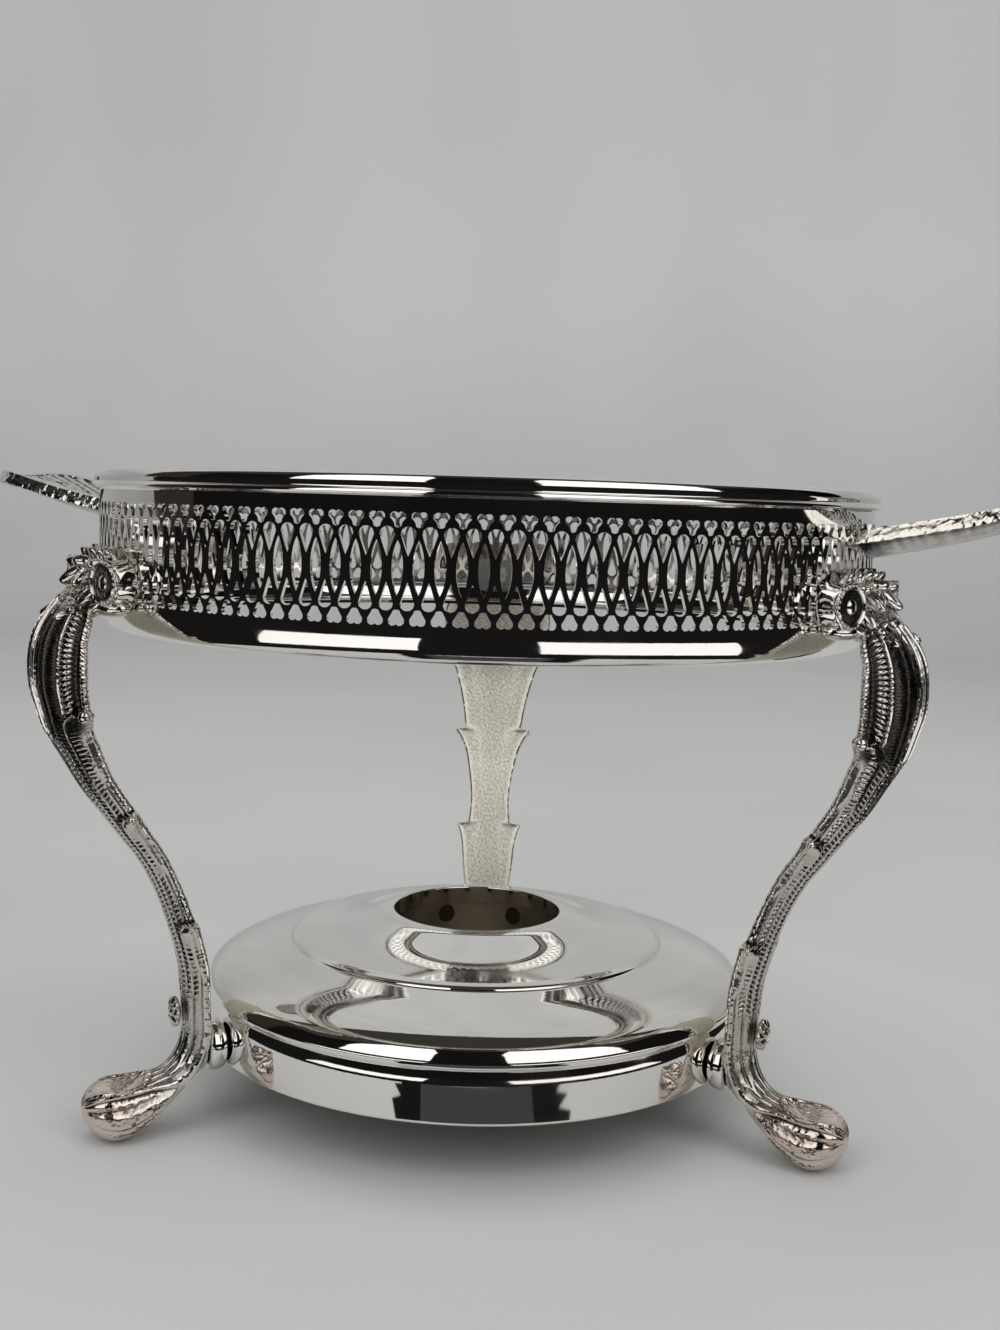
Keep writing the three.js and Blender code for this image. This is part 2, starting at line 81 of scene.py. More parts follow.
def finish_piece(name, bm, material, nodes, sharp=SHARP):
    """Puts a piece drawn about the ring's axis, in millimetres, in its place in the frame."""
    bm.transform(Matrix.Translation(AXIS) @ Matrix.Scale(MM, 4))
    piece = shown(name, bm, material)
    smoothed(piece.data)
    piece.data.set_sharp_from_angle(angle=sharp)
    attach(piece, "root")
    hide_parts(*nodes)
    print(name, len(piece.data.polygons), "faces")


print("ring's axis at", [round(c, 4) for c in AXIS])

# %% [markdown]
# The camera stands in front, a little right of the middle and level with the rim, and looks slightly
# down. Its place was found by fitting the outlines of the rim, the ring and the base.

# %% Camera
CAMERA_FROM_AXIS = Vector((18.4, -484.8, 188.6))
YAW = 1.5635 * DEGREE
PITCH = -6.03 * DEGREE
ROLL = -1.75 * DEGREE
LONG_SIDE = 1330
FOCAL_PIXELS = 1512.5
SENSOR = 36

camera_data = bpy.data.cameras.new("camera")
camera_data.sensor_width = SENSOR
camera_data.lens = SENSOR * FOCAL_PIXELS / LONG_SIDE
camera_data.clip_start = 0.01
camera = bpy.data.objects.new("camera", camera_data)
bpy.context.scene.collection.objects.link(camera)
turn = Matrix.Rotation(YAW, 4, "Z") @ Matrix.Rotation(PITCH, 4, "X") @ Matrix.Rotation(ROLL, 4, "Y")
upright = Matrix.Rotation(math.pi / 2, 4, "X")
camera.matrix_world = Matrix.Translation(AXIS + CAMERA_FROM_AXIS * MM) @ turn @ upright
bpy.context.scene.camera = camera
print("lens", round(camera_data.lens, 2), "mm")

# %% [markdown]
# Polished plate shows its surroundings more than itself. A pale cloth runs from the floor up a flat
# wall behind the stand, and in front the studio is dark with a bright window on each side. That gives
# plate its look: pale where it faces the cloth, near black where it faces the room, with hard white
# streaks. Only the camera sees the round wall in front, so that views from behind have a backdrop too.

# %% Node helpers
def node_tree(owner):
    """An empty node tree for a material or the world."""
    owner.use_nodes = True
    owner.node_tree.nodes.clear()
    return owner.node_tree


def plug(tree, socket, value):
    """Links another node's output to a socket, or sets the socket's own value."""
    if isinstance(value, bpy.types.NodeSocket):
        tree.links.new(value, socket)
    else:
        socket.default_value = value


def add_node(tree, kind, settings=(), **inputs):
    """A node with its settings and input values. A name's underscores stand for spaces."""
    node = tree.nodes.new(kind)
    for key, value in dict(settings).items():
        setattr(node, key, value)
    for key, value in inputs.items():
        plug(tree, node.inputs[key.replace("_", " ")], value)
    return node


def blended(tree, factor, first, second):
    """One colour mixed into another by a mask."""
    node = add_node(tree, "ShaderNodeMix", {"data_type": "RGBA"})
    for socket, value in zip((node.inputs[0], node.inputs[6], node.inputs[7]), (factor, first, second)):
        plug(tree, socket, value)
    return node.outputs[2]


def combined(tree, operation, first, second):
    """Two values made one by a Math node's operation."""
    node = add_node(tree, "ShaderNodeMath", {"operation": operation})
    plug(tree, node.inputs[0], first)
    plug(tree, node.inputs[1], second)
    return node.outputs[0]


def stored(tree, attribute):
    """A value that the mesh holds at each of its points."""
    return add_node(tree, "ShaderNodeAttribute", {"attribute_name": attribute}).outputs["Fac"]


def spread(tree, value, low, high, to_low, to_high):
    """A value moved from one range to another, held at its ends."""
    node = add_node(tree, "ShaderNodeMapRange", {"interpolation_type": "SMOOTHSTEP"}, Value=value)
    for key, number in (("From Min", low), ("From Max", high), ("To Min", to_low), ("To Max", to_high)):
        node.inputs[key].default_value = number
    return node.outputs["Result"]


# %% [markdown]
# The cloth lies on the floor, bends up in a wide curve and hangs flat behind the stand. Its profile
# is a short row of points, pulled sideways for the backdrop and turned for the round wall in front.

# %% Cloth
# Tones of the one cloth: the floor's darker grey is painted shade, the paler grey high up is painted light,
# and the crease grey is painted shade.
WALL_GREY = (0.70, 0.70, 0.695, 1)
SHADED_FLOOR_GREY = (0.53, 0.53, 0.52, 1)
HIGH_LIT_GREY = (0.95, 0.95, 0.94, 1)
CREASE_SHADE_GREY = (0.3, 0.3, 0.3, 1)


def cloth_grey():
    """Pale cloth with broad, faint creases of painted shade, darker where it lies flat as painted shade and
    paler high up as painted light.
    """
    material = bpy.data.materials.new("stage_cloth")
    tree = node_tree(material)
    place = add_node(tree, "ShaderNodeTexCoord").outputs["Object"]
    stretch = add_node(tree, "ShaderNodeMapping", Vector=place, Scale=(1.0, 1.0, 0.35))
    folds = add_node(tree, "ShaderNodeTexNoise", Vector=stretch.outputs[0], Scale=2.4, Detail=2.0)
    height = add_node(tree, "ShaderNodeSeparateXYZ", Vector=place).outputs["Z"]
    # Painted shade and light: the cloth is darker where it lies flat and paler high up.
    low_tone = blended(tree, spread(tree, height, 0.0, 0.7, 0.0, 1.0), SHADED_FLOOR_GREY, WALL_GREY)
    tone = blended(tree, spread(tree, height, 1.3, 2.6, 0.0, 1.0), low_tone, HIGH_LIT_GREY)
    # Painted shade for the creases: noise darkens the cloth a little towards a deeper grey.
    shade = spread(tree, folds.outputs["Fac"], 0.3, 0.7, 0.0, 0.12)
    colour = blended(tree, shade, tone, CREASE_SHADE_GREY)
    shader = add_node(tree, "ShaderNodeBsdfPrincipled", Base_Color=colour, Roughness=0.9)
    add_node(tree, "ShaderNodeOutputMaterial", Surface=shader.outputs[0])
    return material


cloth = cloth_grey()
print("cloth ready")

# %% Floor and backdrop
FLOOR_RADIUS = 1.5
COVE_RADIUS = 0.9
WALL_TOP = 7.0
SWEEP_ENDS = (-7.7, 4.6)


def drawn(bm, profile):
    """The edges of a profile of (distance, height), drawn along +X."""
    points = [bm.verts.new((distance, 0, z)) for distance, z in profile]
    return points + [bm.edges.new(pair) for pair in zip(points, points[1:])]


def staged(name, bm, material):
    """A smooth sheet of cloth that belongs to the studio."""
    sheet = shown(name, bm, material)
    smoothed(sheet.data)
    return sheet


def sweep(profile, ends):
    """A profile drawn towards the back and pulled sideways from one end to the other."""
    bm = bmesh.new()
    made = drawn(bm, profile)
    turn = Matrix.Rotation(math.pi / 2, 3, "Z")
    bmesh.ops.rotate(bm, verts=bm.verts, cent=(0, 0, 0), matrix=turn)
    bmesh.ops.translate(bm, verts=bm.verts, vec=(ends[0], 0, 0))
    edges = [item for item in made if isinstance(item, bmesh.types.BMEdge)]
    pulled = bmesh.ops.extrude_edge_only(bm, edges=edges)
    far = [item for item in pulled["geom"] if isinstance(item, bmesh.types.BMVert)]
    bmesh.ops.translate(bm, verts=far, vec=(ends[1] - ends[0], 0, 0))
    return bm


def round_wall(profile, start, turn_angle, steps):
    """A profile turned about the middle of the floor."""
    bm = bmesh.new()
    made = drawn(bm, profile)
    bmesh.ops.rotate(bm, verts=bm.verts, cent=(0, 0, 0), matrix=Matrix.Rotation(start, 3, "Z"))
    bmesh.ops.spin(bm, geom=made, cent=(0, 0, 0), axis=(0, 0, 1), angle=turn_angle, steps=steps)
    return bm


bend_steps = [a * DEGREE for a in range(0, 91, 6)]
wall_profile = [
    (FLOOR_RADIUS + COVE_RADIUS * math.sin(a), COVE_RADIUS * (1 - math.cos(a))) for a in bend_steps
]
wall_profile.append((wall_profile[-1][0], WALL_TOP))
staged("stage_backdrop", sweep([(-FLOOR_RADIUS, 0), *wall_profile], SWEEP_ENDS), cloth)
front_cove = staged("stage_room", round_wall(wall_profile, 140 * DEGREE, 260 * DEGREE, 90), cloth)
front_cove.visible_glossy = False
front_cove.visible_shadow = False
front_cove.visible_diffuse = False
print("stage ready")

# %% [markdown]
# A lamp lights the stand, but in a mirror it would show as a hard little square. So the lamps are
# hidden from mirrors, and flat glowing cards that only mirrors see draw the windows and the room.

# %% Lamps
WORLD_GREY = (0.84, 0.85, 0.86, 1)
WORLD_STRENGTH = 0.68
LAMP_TARGET = Vector((0, 0, 0.12))
CAMERA_SIDE = 270  # azimuth of the studio's front, in degrees


def around(azimuth, distance, height):
    """A place round the stand. Azimuth 0 is straight in front and grows to the right."""
    angle = (CAMERA_SIDE + azimuth) * DEGREE
    return Vector((distance * math.cos(angle), distance * math.sin(angle), height))


def facing(place, target):
    """Turns a card or lamp at a place so that its lit side looks at a target."""
    return Matrix.Translation(place) @ (target - place).to_track_quat("-Z", "Y").to_matrix().to_4x4()


def softbox(name, place, width, height, power):
    """A rectangular lamp that mirrors don't see."""
    lamp_data = bpy.data.lights.new(name, "AREA")
    lamp_data.shape = "RECTANGLE"
    lamp_data.size = width
    lamp_data.size_y = height
    lamp_data.energy = power
    lamp = bpy.data.objects.new(name, lamp_data)
    lamp.matrix_world = facing(place, LAMP_TARGET)
    lamp.visible_glossy = False
    bpy.context.scene.collection.objects.link(lamp)


world = bpy.data.worlds.new("studio")
bpy.context.scene.world = world
world_tree = node_tree(world)
sky = add_node(world_tree, "ShaderNodeBackground", Color=WORLD_GREY, Strength=WORLD_STRENGTH)
add_node(world_tree, "ShaderNodeOutputWorld", Surface=sky.outputs[0])
world.cycles_visibility.glossy = False

# Each lamp's place, width, height and power.
softbox("window_left", around(-36, 1.5, 1.15), 1.15, 1.5, 10)
softbox("window_right", around(46, 1.5, 1.15), 1.15, 1.5, 10)
softbox("overhead", Vector((0, 0.25, 2.2)), 1.8, 1.4, 12)
print("lamps ready")

# %% [markdown]
# The windows give the plate its hard white streaks. Each is one glowing card, two metres away. Its
# outline needs only six corners, because a curved mirror shows little more than its edges.

# %% Windows
WHITE = (1.0, 0.99, 0.97, 1)
WINDOW_DISTANCE = 2.0
WINDOW_GLOW = 1.3
# Each window's outline from its lower inner corner: azimuth in degrees and height in metres.
windows = {
    "left": [(-14, 0.42), (-15, 2.3), (-24, 4.3), (-50, 3.6), (-53, 2.1), (-51, 0.42)],
    "right": [(15.5, 0.42), (16.5, 2.3), (26, 4.3), (56, 3.4), (67, 2.1), (65.5, 0.42)],
}


def mirrored_card(name, corners, colour, strength):
    """A flat card that only mirrors see: it neither shows nor lights nor shades anything."""
    bm = bmesh.new()
    bm.faces.new([bm.verts.new(corner) for corner in corners])
    material = bpy.data.materials.new(name)
    tree = node_tree(material)
    glow = add_node(tree, "ShaderNodeEmission", Color=colour, Strength=strength)
    add_node(tree, "ShaderNodeOutputMaterial", Surface=glow.outputs[0])
    card = shown(name, bm, material)
    card.visible_camera = False
    card.visible_diffuse = False
    card.visible_shadow = False


for side, outline in windows.items():
    corners = [around(azimuth, WINDOW_DISTANCE, height) for azimuth, height in outline]
    mirrored_card("mirrored_window_" + side, corners, WHITE, WINDOW_GLOW)
print("windows", list(windows))

# %% [markdown]
# The plate that faces the dark studio is nearly black. A dark card covers the floor there, with a
# bright patch towards each window, and walls and a ceiling close the room. Cards do this without
# lighting or shading the stand.

# %% Floor of the dark room
# Azimuths that the dark floor and its bright patches run between.
DARK_ARC = (-101, 111)
GLOW_ARCS = {"left": (-55.5, -13.5), "right": (15, 70.5)}
ROOM_DARK = (0.009, 0.008, 0.008, 1)
DARK_FROM = 0.205
DARK_TO = 8.0
GLOW_FROM = 0.27
GLOW_TO = 0.68
FLOOR_GLOW = 1.1
DARK_FLOOR_Z = 0.0006
GLOW_Z = 0.0012
SECTOR_STEPS = 24


def ring_sector(start, end, inner, outer, height):
    """Corners of a piece of a flat ring on the floor, between two azimuths."""
    angles = [start + (end - start) * k / SECTOR_STEPS for k in range(SECTOR_STEPS + 1)]
    inner_edge = [around(a, inner, height) for a in angles]
    return inner_edge + [around(a, outer, height) for a in reversed(angles)]


dark_floor = ring_sector(*DARK_ARC, DARK_FROM, DARK_TO, DARK_FLOOR_Z)
mirrored_card("dark_room_floor", dark_floor, ROOM_DARK, 1.0)
for side, arc in GLOW_ARCS.items():
    corners = ring_sector(*arc, GLOW_FROM, GLOW_TO, GLOW_Z)
    mirrored_card("floor_glow_" + side, corners, WHITE, FLOOR_GLOW)
print("floor of the dark room ready")

# %% Walls and ceiling of the dark room
ROOM_BROWN = (0.042, 0.033, 0.03, 1)
CEILING_DARK = (0.04, 0.036, 0.032, 1)
ROOM_SIDE = 9
ROOM_FRONT = -3
ROOM_BACK = 2.6
BROWN_FROM = -0.5
ROOM_FOOT = -0.5
ROOM_HEIGHT = 7.2
ROOM_GLOW = 0.7
# Each wall from one place on the floor to another.
room_walls = {
    "front": ((-ROOM_SIDE, ROOM_FRONT), (ROOM_SIDE, ROOM_FRONT), ROOM_DARK),
    "left": ((-ROOM_SIDE, ROOM_FRONT), (-ROOM_SIDE, BROWN_FROM), ROOM_DARK),
    "left_back": ((-ROOM_SIDE, BROWN_FROM), (-ROOM_SIDE, ROOM_BACK), ROOM_BROWN),
    "right": ((ROOM_SIDE, ROOM_FRONT), (ROOM_SIDE, ROOM_BACK), ROOM_DARK),
}
for name, (start, end, colour) in room_walls.items():
    corners = [(*start, ROOM_FOOT), (*end, ROOM_FOOT), (*end, ROOM_HEIGHT), (*start, ROOM_HEIGHT)]
    mirrored_card("room_" + name, corners, colour, ROOM_GLOW)
ceiling_low = [(-ROOM_SIDE, ROOM_FRONT), (ROOM_SIDE, ROOM_FRONT)]
ceiling_high = [(ROOM_SIDE, ROOM_BACK), (-ROOM_SIDE, ROOM_BACK)]
ceiling = [(x, y, ROOM_HEIGHT) for x, y in ceiling_low + ceiling_high]
mirrored_card("room_ceiling", ceiling, CEILING_DARK, 1.0)
print("walls of the dark room", list(room_walls))

# %% [markdown]
# The skirt mirrors the floor just in front of it, where the plate shows two dark patches with ragged
# edges and a grey one between them. Three small cards on the floor draw those.

# %% Cards for the skirt
SHADE_GREY = (0.05, 0.05, 0.052, 1)
SKIRT_CARD_Z = 0.0018
ragged_left = [(-0.067, -0.194), (-0.058, -0.181), (-0.064, -0.176), (-0.049, -0.160), (-0.053, -0.153)]
ragged_right = [(0.058, -0.120), (0.068, -0.130), (0.064, -0.138), (0.082, -0.150), (0.077, -0.159)]
floor_cards = {
    "dark_left": ([(-0.036, -0.129), (-0.023, -0.133), (-0.045, -0.2), *ragged_left], ROOM_DARK),
    "grey_middle": ([(-0.023, -0.133), (0.04, -0.129), (0.068, -0.194), (-0.045, -0.2)], SHADE_GREY),
    "dark_right": ([(0.04, -0.129), *ragged_right, (0.099, -0.179), (0.068, -0.194)], ROOM_DARK),
}
for name, (corners, colour) in floor_cards.items():
    mirrored_card(name, [(x, y, SKIRT_CARD_Z) for x, y in corners], colour, 1.0)
bpy.context.scene.view_settings.view_transform = "Standard"
print("cards for the skirt", list(floor_cards))

# %% [markdown]
# Silver plate is almost a perfect mirror. What makes it look like metal rather than glass is slight:
# a warm tint, fine polishing lines, a little haze, and a surface that is never quite flat. Those are
# one shared group, and each plated finish sets its own amounts.

# %% Shared group: polish marks
GRAIN_SHARE = 0.015  # of the height, beside the slow wave


def group_socket(tree, name, kind, way, value=None):
    """A named input or output of a group."""
    socket = tree.interface.new_socket(name=name, in_out=way, socket_type=kind)
    if value is not None:
        socket.default_value = value


def polish_marks():
    """Haze for the roughness, a warm mask and a height, all from the place on the object."""
    tree = bpy.data.node_groups.new("polish_marks", "ShaderNodeTree")
    group_socket(tree, "Vector", "NodeSocketVector", "INPUT")
    group_socket(tree, "Haze scale", "NodeSocketFloat", "INPUT", 60.0)
    group_socket(tree, "Grain scale", "NodeSocketFloat", "INPUT", 900.0)
    group_socket(tree, "Haze", "NodeSocketFloat", "OUTPUT")
    group_socket(tree, "Warm", "NodeSocketFloat", "OUTPUT")
    group_socket(tree, "Height", "NodeSocketFloat", "OUTPUT")
    given = tree.nodes.new("NodeGroupInput")
    made = tree.nodes.new("NodeGroupOutput")
    place = given.outputs["Vector"]
    haze = add_node(tree, "ShaderNodeTexNoise", Vector=place, Scale=given.outputs["Haze scale"], Detail=4.0)
    warm = add_node(tree, "ShaderNodeTexNoise", Vector=place, Scale=16.0, Detail=3.0)
    lines = add_node(tree, "ShaderNodeMapping", Vector=place, Scale=(1.0, 1.0, 5.0))
    grain = add_node(
        tree, "ShaderNodeTexNoise", Vector=lines.outputs[0], Scale=given.outputs["Grain scale"], Detail=2.0
    )
    wave = add_node(tree, "ShaderNodeTexNoise", Vector=place, Scale=22.0, Detail=1.0)
    fine = combined(tree, "MULTIPLY", grain.outputs["Fac"], GRAIN_SHARE)
    height = combined(tree, "ADD", fine, wave.outputs["Fac"])
    tree.links.new(spread(tree, haze.outputs["Fac"], 0.35, 0.75, 0.0, 1.0), made.inputs["Haze"])
    tree.links.new(spread(tree, warm.outputs["Fac"], 0.4, 0.7, 0.0, 1.0), made.inputs["Warm"])
    tree.links.new(height, made.inputs["Height"])
    return tree


def metal_output(tree, colour, roughness, height, distance, metallic=1.0):
    """The metal's own shader, with its colour, gloss and relief plugged in."""
    relief = add_node(tree, "ShaderNodeBump", Strength=1.0, Distance=distance, Height=height)
    shader = add_node(
        tree,
        "ShaderNodeBsdfPrincipled",
        Base_Color=colour,
        Metallic=metallic,
        Roughness=roughness,
        Normal=relief.outputs[0],
    )
    add_node(tree, "ShaderNodeOutputMaterial", Surface=shader.outputs[0])


POLISH_MARKS = polish_marks()
print("polish marks:", len(POLISH_MARKS.nodes), "nodes")

# %% Polished plate
DULL_INSIDE = (0.10, 0.08, 0.06, 1)
# Each finish: bright and warm colour, least and most roughness, and the waves' height in metres.
SHEET_FINISHES = {
    "polished_plate": ((0.90, 0.885, 0.86, 1), (0.87, 0.84, 0.79, 1), 0.03, 0.085, 0.00012),
    "steel": ((0.56, 0.56, 0.55, 1), (0.48, 0.46, 0.43, 1), 0.22, 0.38, 0.0001),
    "burner_tin": ((0.50, 0.45, 0.38, 1), (0.40, 0.33, 0.26, 1), 0.30, 0.48, 0.0003),
}


def polished_plate(name, bright, warm, smooth, hazy, wave):
    """Mirror-bright silver plate with faint haze, a warm cast in places, and a dull, dark inside."""
    material = bpy.data.materials.new(name)
    tree = node_tree(material)
    place = add_node(tree, "ShaderNodeTexCoord").outputs["Object"]
    marks = add_node(tree, "ShaderNodeGroup", {"node_tree": POLISH_MARKS}, Vector=place)
    inside = stored(tree, "inside")
    clean = blended(tree, marks.outputs["Warm"], bright, warm)
    colour = blended(tree, inside, clean, DULL_INSIDE)
    gloss = spread(tree, marks.outputs["Haze"], 0.0, 1.0, smooth, hazy)
    roughness = combined(tree, "ADD", gloss, spread(tree, inside, 0.0, 1.0, 0.0, 0.4))
    metal_output(tree, colour, roughness, marks.outputs["Height"], wave)
    return material


plate, steel, tin = (polished_plate(name, *finish) for name, finish in SHEET_FINISHES.items())
print("sheet finishes ready")

# %% [markdown]
# The castings are plated too, but their surface is rougher. Plate is bright where hands rub it and
# dark where polish never reaches, and the unfinished backs are pale and sandy. Under the handles the
# plate is darkened as painted shade. Each casting stores those zones on its own points, so that they
# follow the relief.

# %% Cast plate
CAST_BRIGHT = (0.80, 0.785, 0.75, 1)
CAST_WORN = (0.70, 0.65, 0.59, 1)
CAST_ROUGHNESS = 0.06
COPPER_SHOWING = (0.74, 0.61, 0.54, 1)
RAW_CASTING = (0.98, 0.93, 0.81, 1)
HOLLOW_DARK = (0.04, 0.034, 0.03, 1)
SAND_GRAIN = 0.00006


def cast_plate(name, tint, worn, shine):
    """Plated casting: bright where it is high, dark in the hollows and in painted shade under the handles,
    matt and sandy where it is raw.
    """
    material = bpy.data.materials.new(name)
    tree = node_tree(material)
    place = add_node(tree, "ShaderNodeTexCoord").outputs["Object"]
    marks = add_node(tree, "ShaderNodeGroup", {"node_tree": POLISH_MARKS}, Vector=place, Haze_scale=220.0)
    hollow = stored(tree, "hollow")
    raw = stored(tree, "raw")
    stipple = add_node(tree, "ShaderNodeTexNoise", Vector=place, Scale=1300.0, Detail=2.0)
    pits = add_node(tree, "ShaderNodeTexVoronoi", Vector=place, Scale=700.0)
    plated = blended(tree, marks.outputs["Warm"], tint, worn)
    copper = blended(tree, stored(tree, "rubbed"), plated, COPPER_SHOWING)
    clean = blended(tree, raw, copper, RAW_CASTING)
    # Dark where the hollow value is high: patina in the hollows, and painted shade under the handles.
    dark = spread(tree, hollow, 0.25, 0.95, 0.0, 0.97)
    colour = blended(tree, dark, clean, HOLLOW_DARK)
    gloss = spread(tree, marks.outputs["Haze"], 0.0, 1.0, shine, shine + 0.16)
    dull_hollow = spread(tree, hollow, 0.2, 0.9, 0.0, 0.18)
    dull_raw = spread(tree, raw, 0.0, 1.0, 0.0, 0.34)
    rough = combined(tree, "ADD", gloss, combined(tree, "MAXIMUM", dull_hollow, dull_raw))
    height = combined(tree, "ADD", stipple.outputs["Fac"], pits.outputs["Distance"])
    metallic = spread(tree, raw, 0.0, 1.0, 1.0, 0.25)
    metal_output(tree, colour, rough, height, SAND_GRAIN, metallic)
    return material


cast = cast_plate("cast_plate", CAST_BRIGHT, CAST_WORN, CAST_ROUGHNESS)
print("cast finish ready")

# %% [markdown]
# The rim, the base, the ledge and the cup are spun or rolled sheet: one outline turned about the
# axis. A corner of the outline gets a fillet, because a bent sheet has no sharp corner.

# %% Turned sheet
RING_TURN = 0.61 * DEGREE
LENSES = 142
RING_STEPS = 2 * LENSES
SPIN_STEPS = 240


def filleted(corners, steps=5):
    """An outline's corners (r, z, fillet) with each fillet drawn as a short curve."""
    points = []
    for i, (r, z, fillet) in enumerate(corners):
        here = Vector((r, z))
        if not fillet:
            points.append(here)
            continue
        before = Vector(corners[i - 1][:2]) - here
        after = Vector(corners[(i + 1) % len(corners)][:2]) - here
        start = here + before.normalized() * min(fillet, before.length / 2.02)
        end = here + after.normalized() * min(fillet, after.length / 2.02)
        for k in range(steps + 1):
            t = k / steps
            points.append((1 - t) ** 2 * start + 2 * t * (1 - t) * here + t * t * end)
    return points


def turned(outline, steps=SPIN_STEPS, closed=True, start=0.0):
    """An outline in (r, z) turned about the axis."""
    bm = bmesh.new()
    points = [bm.verts.new((r, 0, z)) for r, z in outline]
    pairs = list(zip(points, points[1:]))
    if closed:
        pairs.append((points[-1], points[0]))
    edges = [bm.edges.new(pair) for pair in pairs]
    bmesh.ops.rotate(bm, verts=points, cent=(0, 0, 0), matrix=Matrix.Rotation(start, 3, "Z"))
    bmesh.ops.spin(
        bm,
        geom=[*points, *edges],
        cent=(0, 0, 0),
        axis=(0, 0, 1),
        angle=2 * math.pi,
        steps=steps,
        use_merge=True,
    )
    bmesh.ops.remove_doubles(bm, verts=bm.verts, dist=1e-4)
    bmesh.ops.recalc_face_normals(bm, faces=bm.faces)
    return bm


# %% [markdown]
# The rim moulding is drawn from strip: it leaves the wall in a small flare, makes a low band, and
# rolls over into a domed collar that turns down inside the ring.

# %% Rim moulding
RING_R = 120.0
SHEET = 1.2
RIM_FOOT = 189.8
RIM_TOP = 195.75

rim_outline = filleted(
    [
        (RING_R + 0.2, RIM_FOOT, 0),
        (RING_R + 0.5, RIM_FOOT + 0.5, 0.5),
        (RING_R + 2.25, RIM_FOOT + 0.75, 0.5),
        (RING_R + 2.0, RIM_FOOT + 1.8, 0.4),
        (RING_R + 1.35, RIM_FOOT + 2.2, 0.4),
        (RING_R + 1.6, RIM_FOOT + 4.0, 0.8),
        (RING_R + 0.95, RIM_FOOT + 5.5, 0.8),
        (RING_R - 1.4, RIM_TOP + 0.15, 0.9),
        (RING_R - 10.0, RIM_TOP - 1.3, 1.0),
        (RING_R - 10.0, RIM_TOP - 3.2, 0),
        (RING_R - 9.2, RIM_TOP - 3.2, 0),
        (RING_R - 9.2, RIM_TOP - 2.1, 0.8),
        (RING_R - 3.2, RIM_TOP - 0.9, 2.0),
        (RING_R - 1.2, RIM_FOOT, 0),
    ],
    steps=8,
)
finish_piece("rim_moulding", turned(rim_outline), plate, ["top_rim"], sharp=50 * DEGREE)

# %% [markdown]
# The dish sits on a flat ledge inside the ring, just above the wall's folded lower edge.

# %% Dish ledge
ledge_low, ledge_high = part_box("dish_ledge")
LEDGE_BOTTOM = ledge_low.z / MM
LEDGE_TOP = ledge_high.z / MM
LEDGE_INNER = RING_R - 12.0
LEDGE_OUTER = RING_R - 4.5

ledge_outline = filleted(
    [
        (LEDGE_INNER, LEDGE_BOTTOM, 0.4),
        (LEDGE_OUTER, LEDGE_BOTTOM, 0),
        (LEDGE_OUTER, LEDGE_TOP, 0),
        (LEDGE_INNER, LEDGE_TOP, 0.4),
    ],
    steps=3,
)
finish_piece("ledge_ring", turned(ledge_outline), plate, ["dish_ledge"])

# %% [markdown]
# The gallery is a strip of sheet, pierced on a press and then rolled into the ring. The press cuts
# one pattern again and again, so one repeat is drawn flat, filled round its holes, thickened, bent to
# the ring and copied round. Its side borders weave between the holes, so that each hole lies whole
# inside one repeat and only solid metal is joined.

# %% One repeat of the pierced pattern
PITCH = 2 * math.pi * RING_R / LENSES
BAND_LOW = 157.6
BAND_HIGH = 187.9
LENS_MIDDLE = 172.75
LENS_HALF_HEIGHT = 6.75
LENS_HALF_WIDTH = 1.45


def lens_hole():
    """Tall pointed lens on the repeat's axis."""
    shares = [k / 5 for k in range(-5, 6)]
    right = [(LENS_HALF_WIDTH * (1 - t * t) ** 0.85, LENS_MIDDLE + LENS_HALF_HEIGHT * t) for t in shares]
    left = [(-x, z) for x, z in reversed(right[1:-1])]
    return right + left


def drop_hole(tip, widest, blunt, half):
    """Teardrop half a pitch from the lens: pointed at one end, round at the other."""
    reach = widest - tip
    side = [(half * (k / 4) ** 0.9, tip + reach * k / 4) for k in range(1, 5)]
    bends = [a * DEGREE for a in (35, 65)]
    cap = [(half * math.cos(a), widest + (blunt - widest) * math.sin(a)) for a in bends]
    right = side + cap
    left = [(-x, z) for x, z in reversed(right)]
    return [(x + PITCH / 2, z) for x, z in [(0, tip), *right, (0, blunt), *left]]


def clover_hole(narrow_end, waist, widest, wide_end):
    """Clover: one narrow round lobe, and two lobes side by side at the wide end."""
    notch = wide_end + 0.22 * (widest - wide_end)
    right = [
        (0.75, narrow_end + 0.18 * (waist - narrow_end)),
        (1.1, waist),
        (2.0, widest),
        (1.95, widest + 0.6 * (wide_end - widest)),
        (1.3, wide_end),
        (0.5, wide_end),
    ]
    left = [(-x, z) for x, z in reversed(right)]
    return [(0, narrow_end), *right, (0, notch), *left]


HOLES = [
    lens_hole(),
    drop_hole(175.55, 180.9, 182.8, 1.95),
    drop_hole(169.3, 163.9, 162.3, 1.8),
    clover_hole(182.5, 183.9, 184.9, 186.3),
    clover_hole(162.6, 161.7, 160.2, 158.7),
]
WEAVE = [
    (-PITCH / 2, BAND_LOW),
    (-PITCH / 2, 161.3),
    (-1.5, 162.4),
    (-0.45, 164.1),
    (-0.75, 166.0),
    (-1.4, 168.0),
    (-PITCH / 2, 170.6),
    (-PITCH / 2, 174.4),
    (-1.45, 177.0),
    (-0.75, 179.0),
    (-0.3, 180.7),
    (-0.72, 181.8),
    (-PITCH / 2, 183.6),
    (-PITCH / 2, BAND_HIGH),
]
print("pitch", round(PITCH, 3), "mm")


# %% Pierce, bend and join
def loop_of(bm, points):
    """A closed loop of edges through flat points (along, up)."""
    verts = [bm.verts.new((x, 0, z)) for x, z in points]
    return [bm.edges.new((a, b)) for a, b in zip(verts, verts[1:] + verts[:1])]


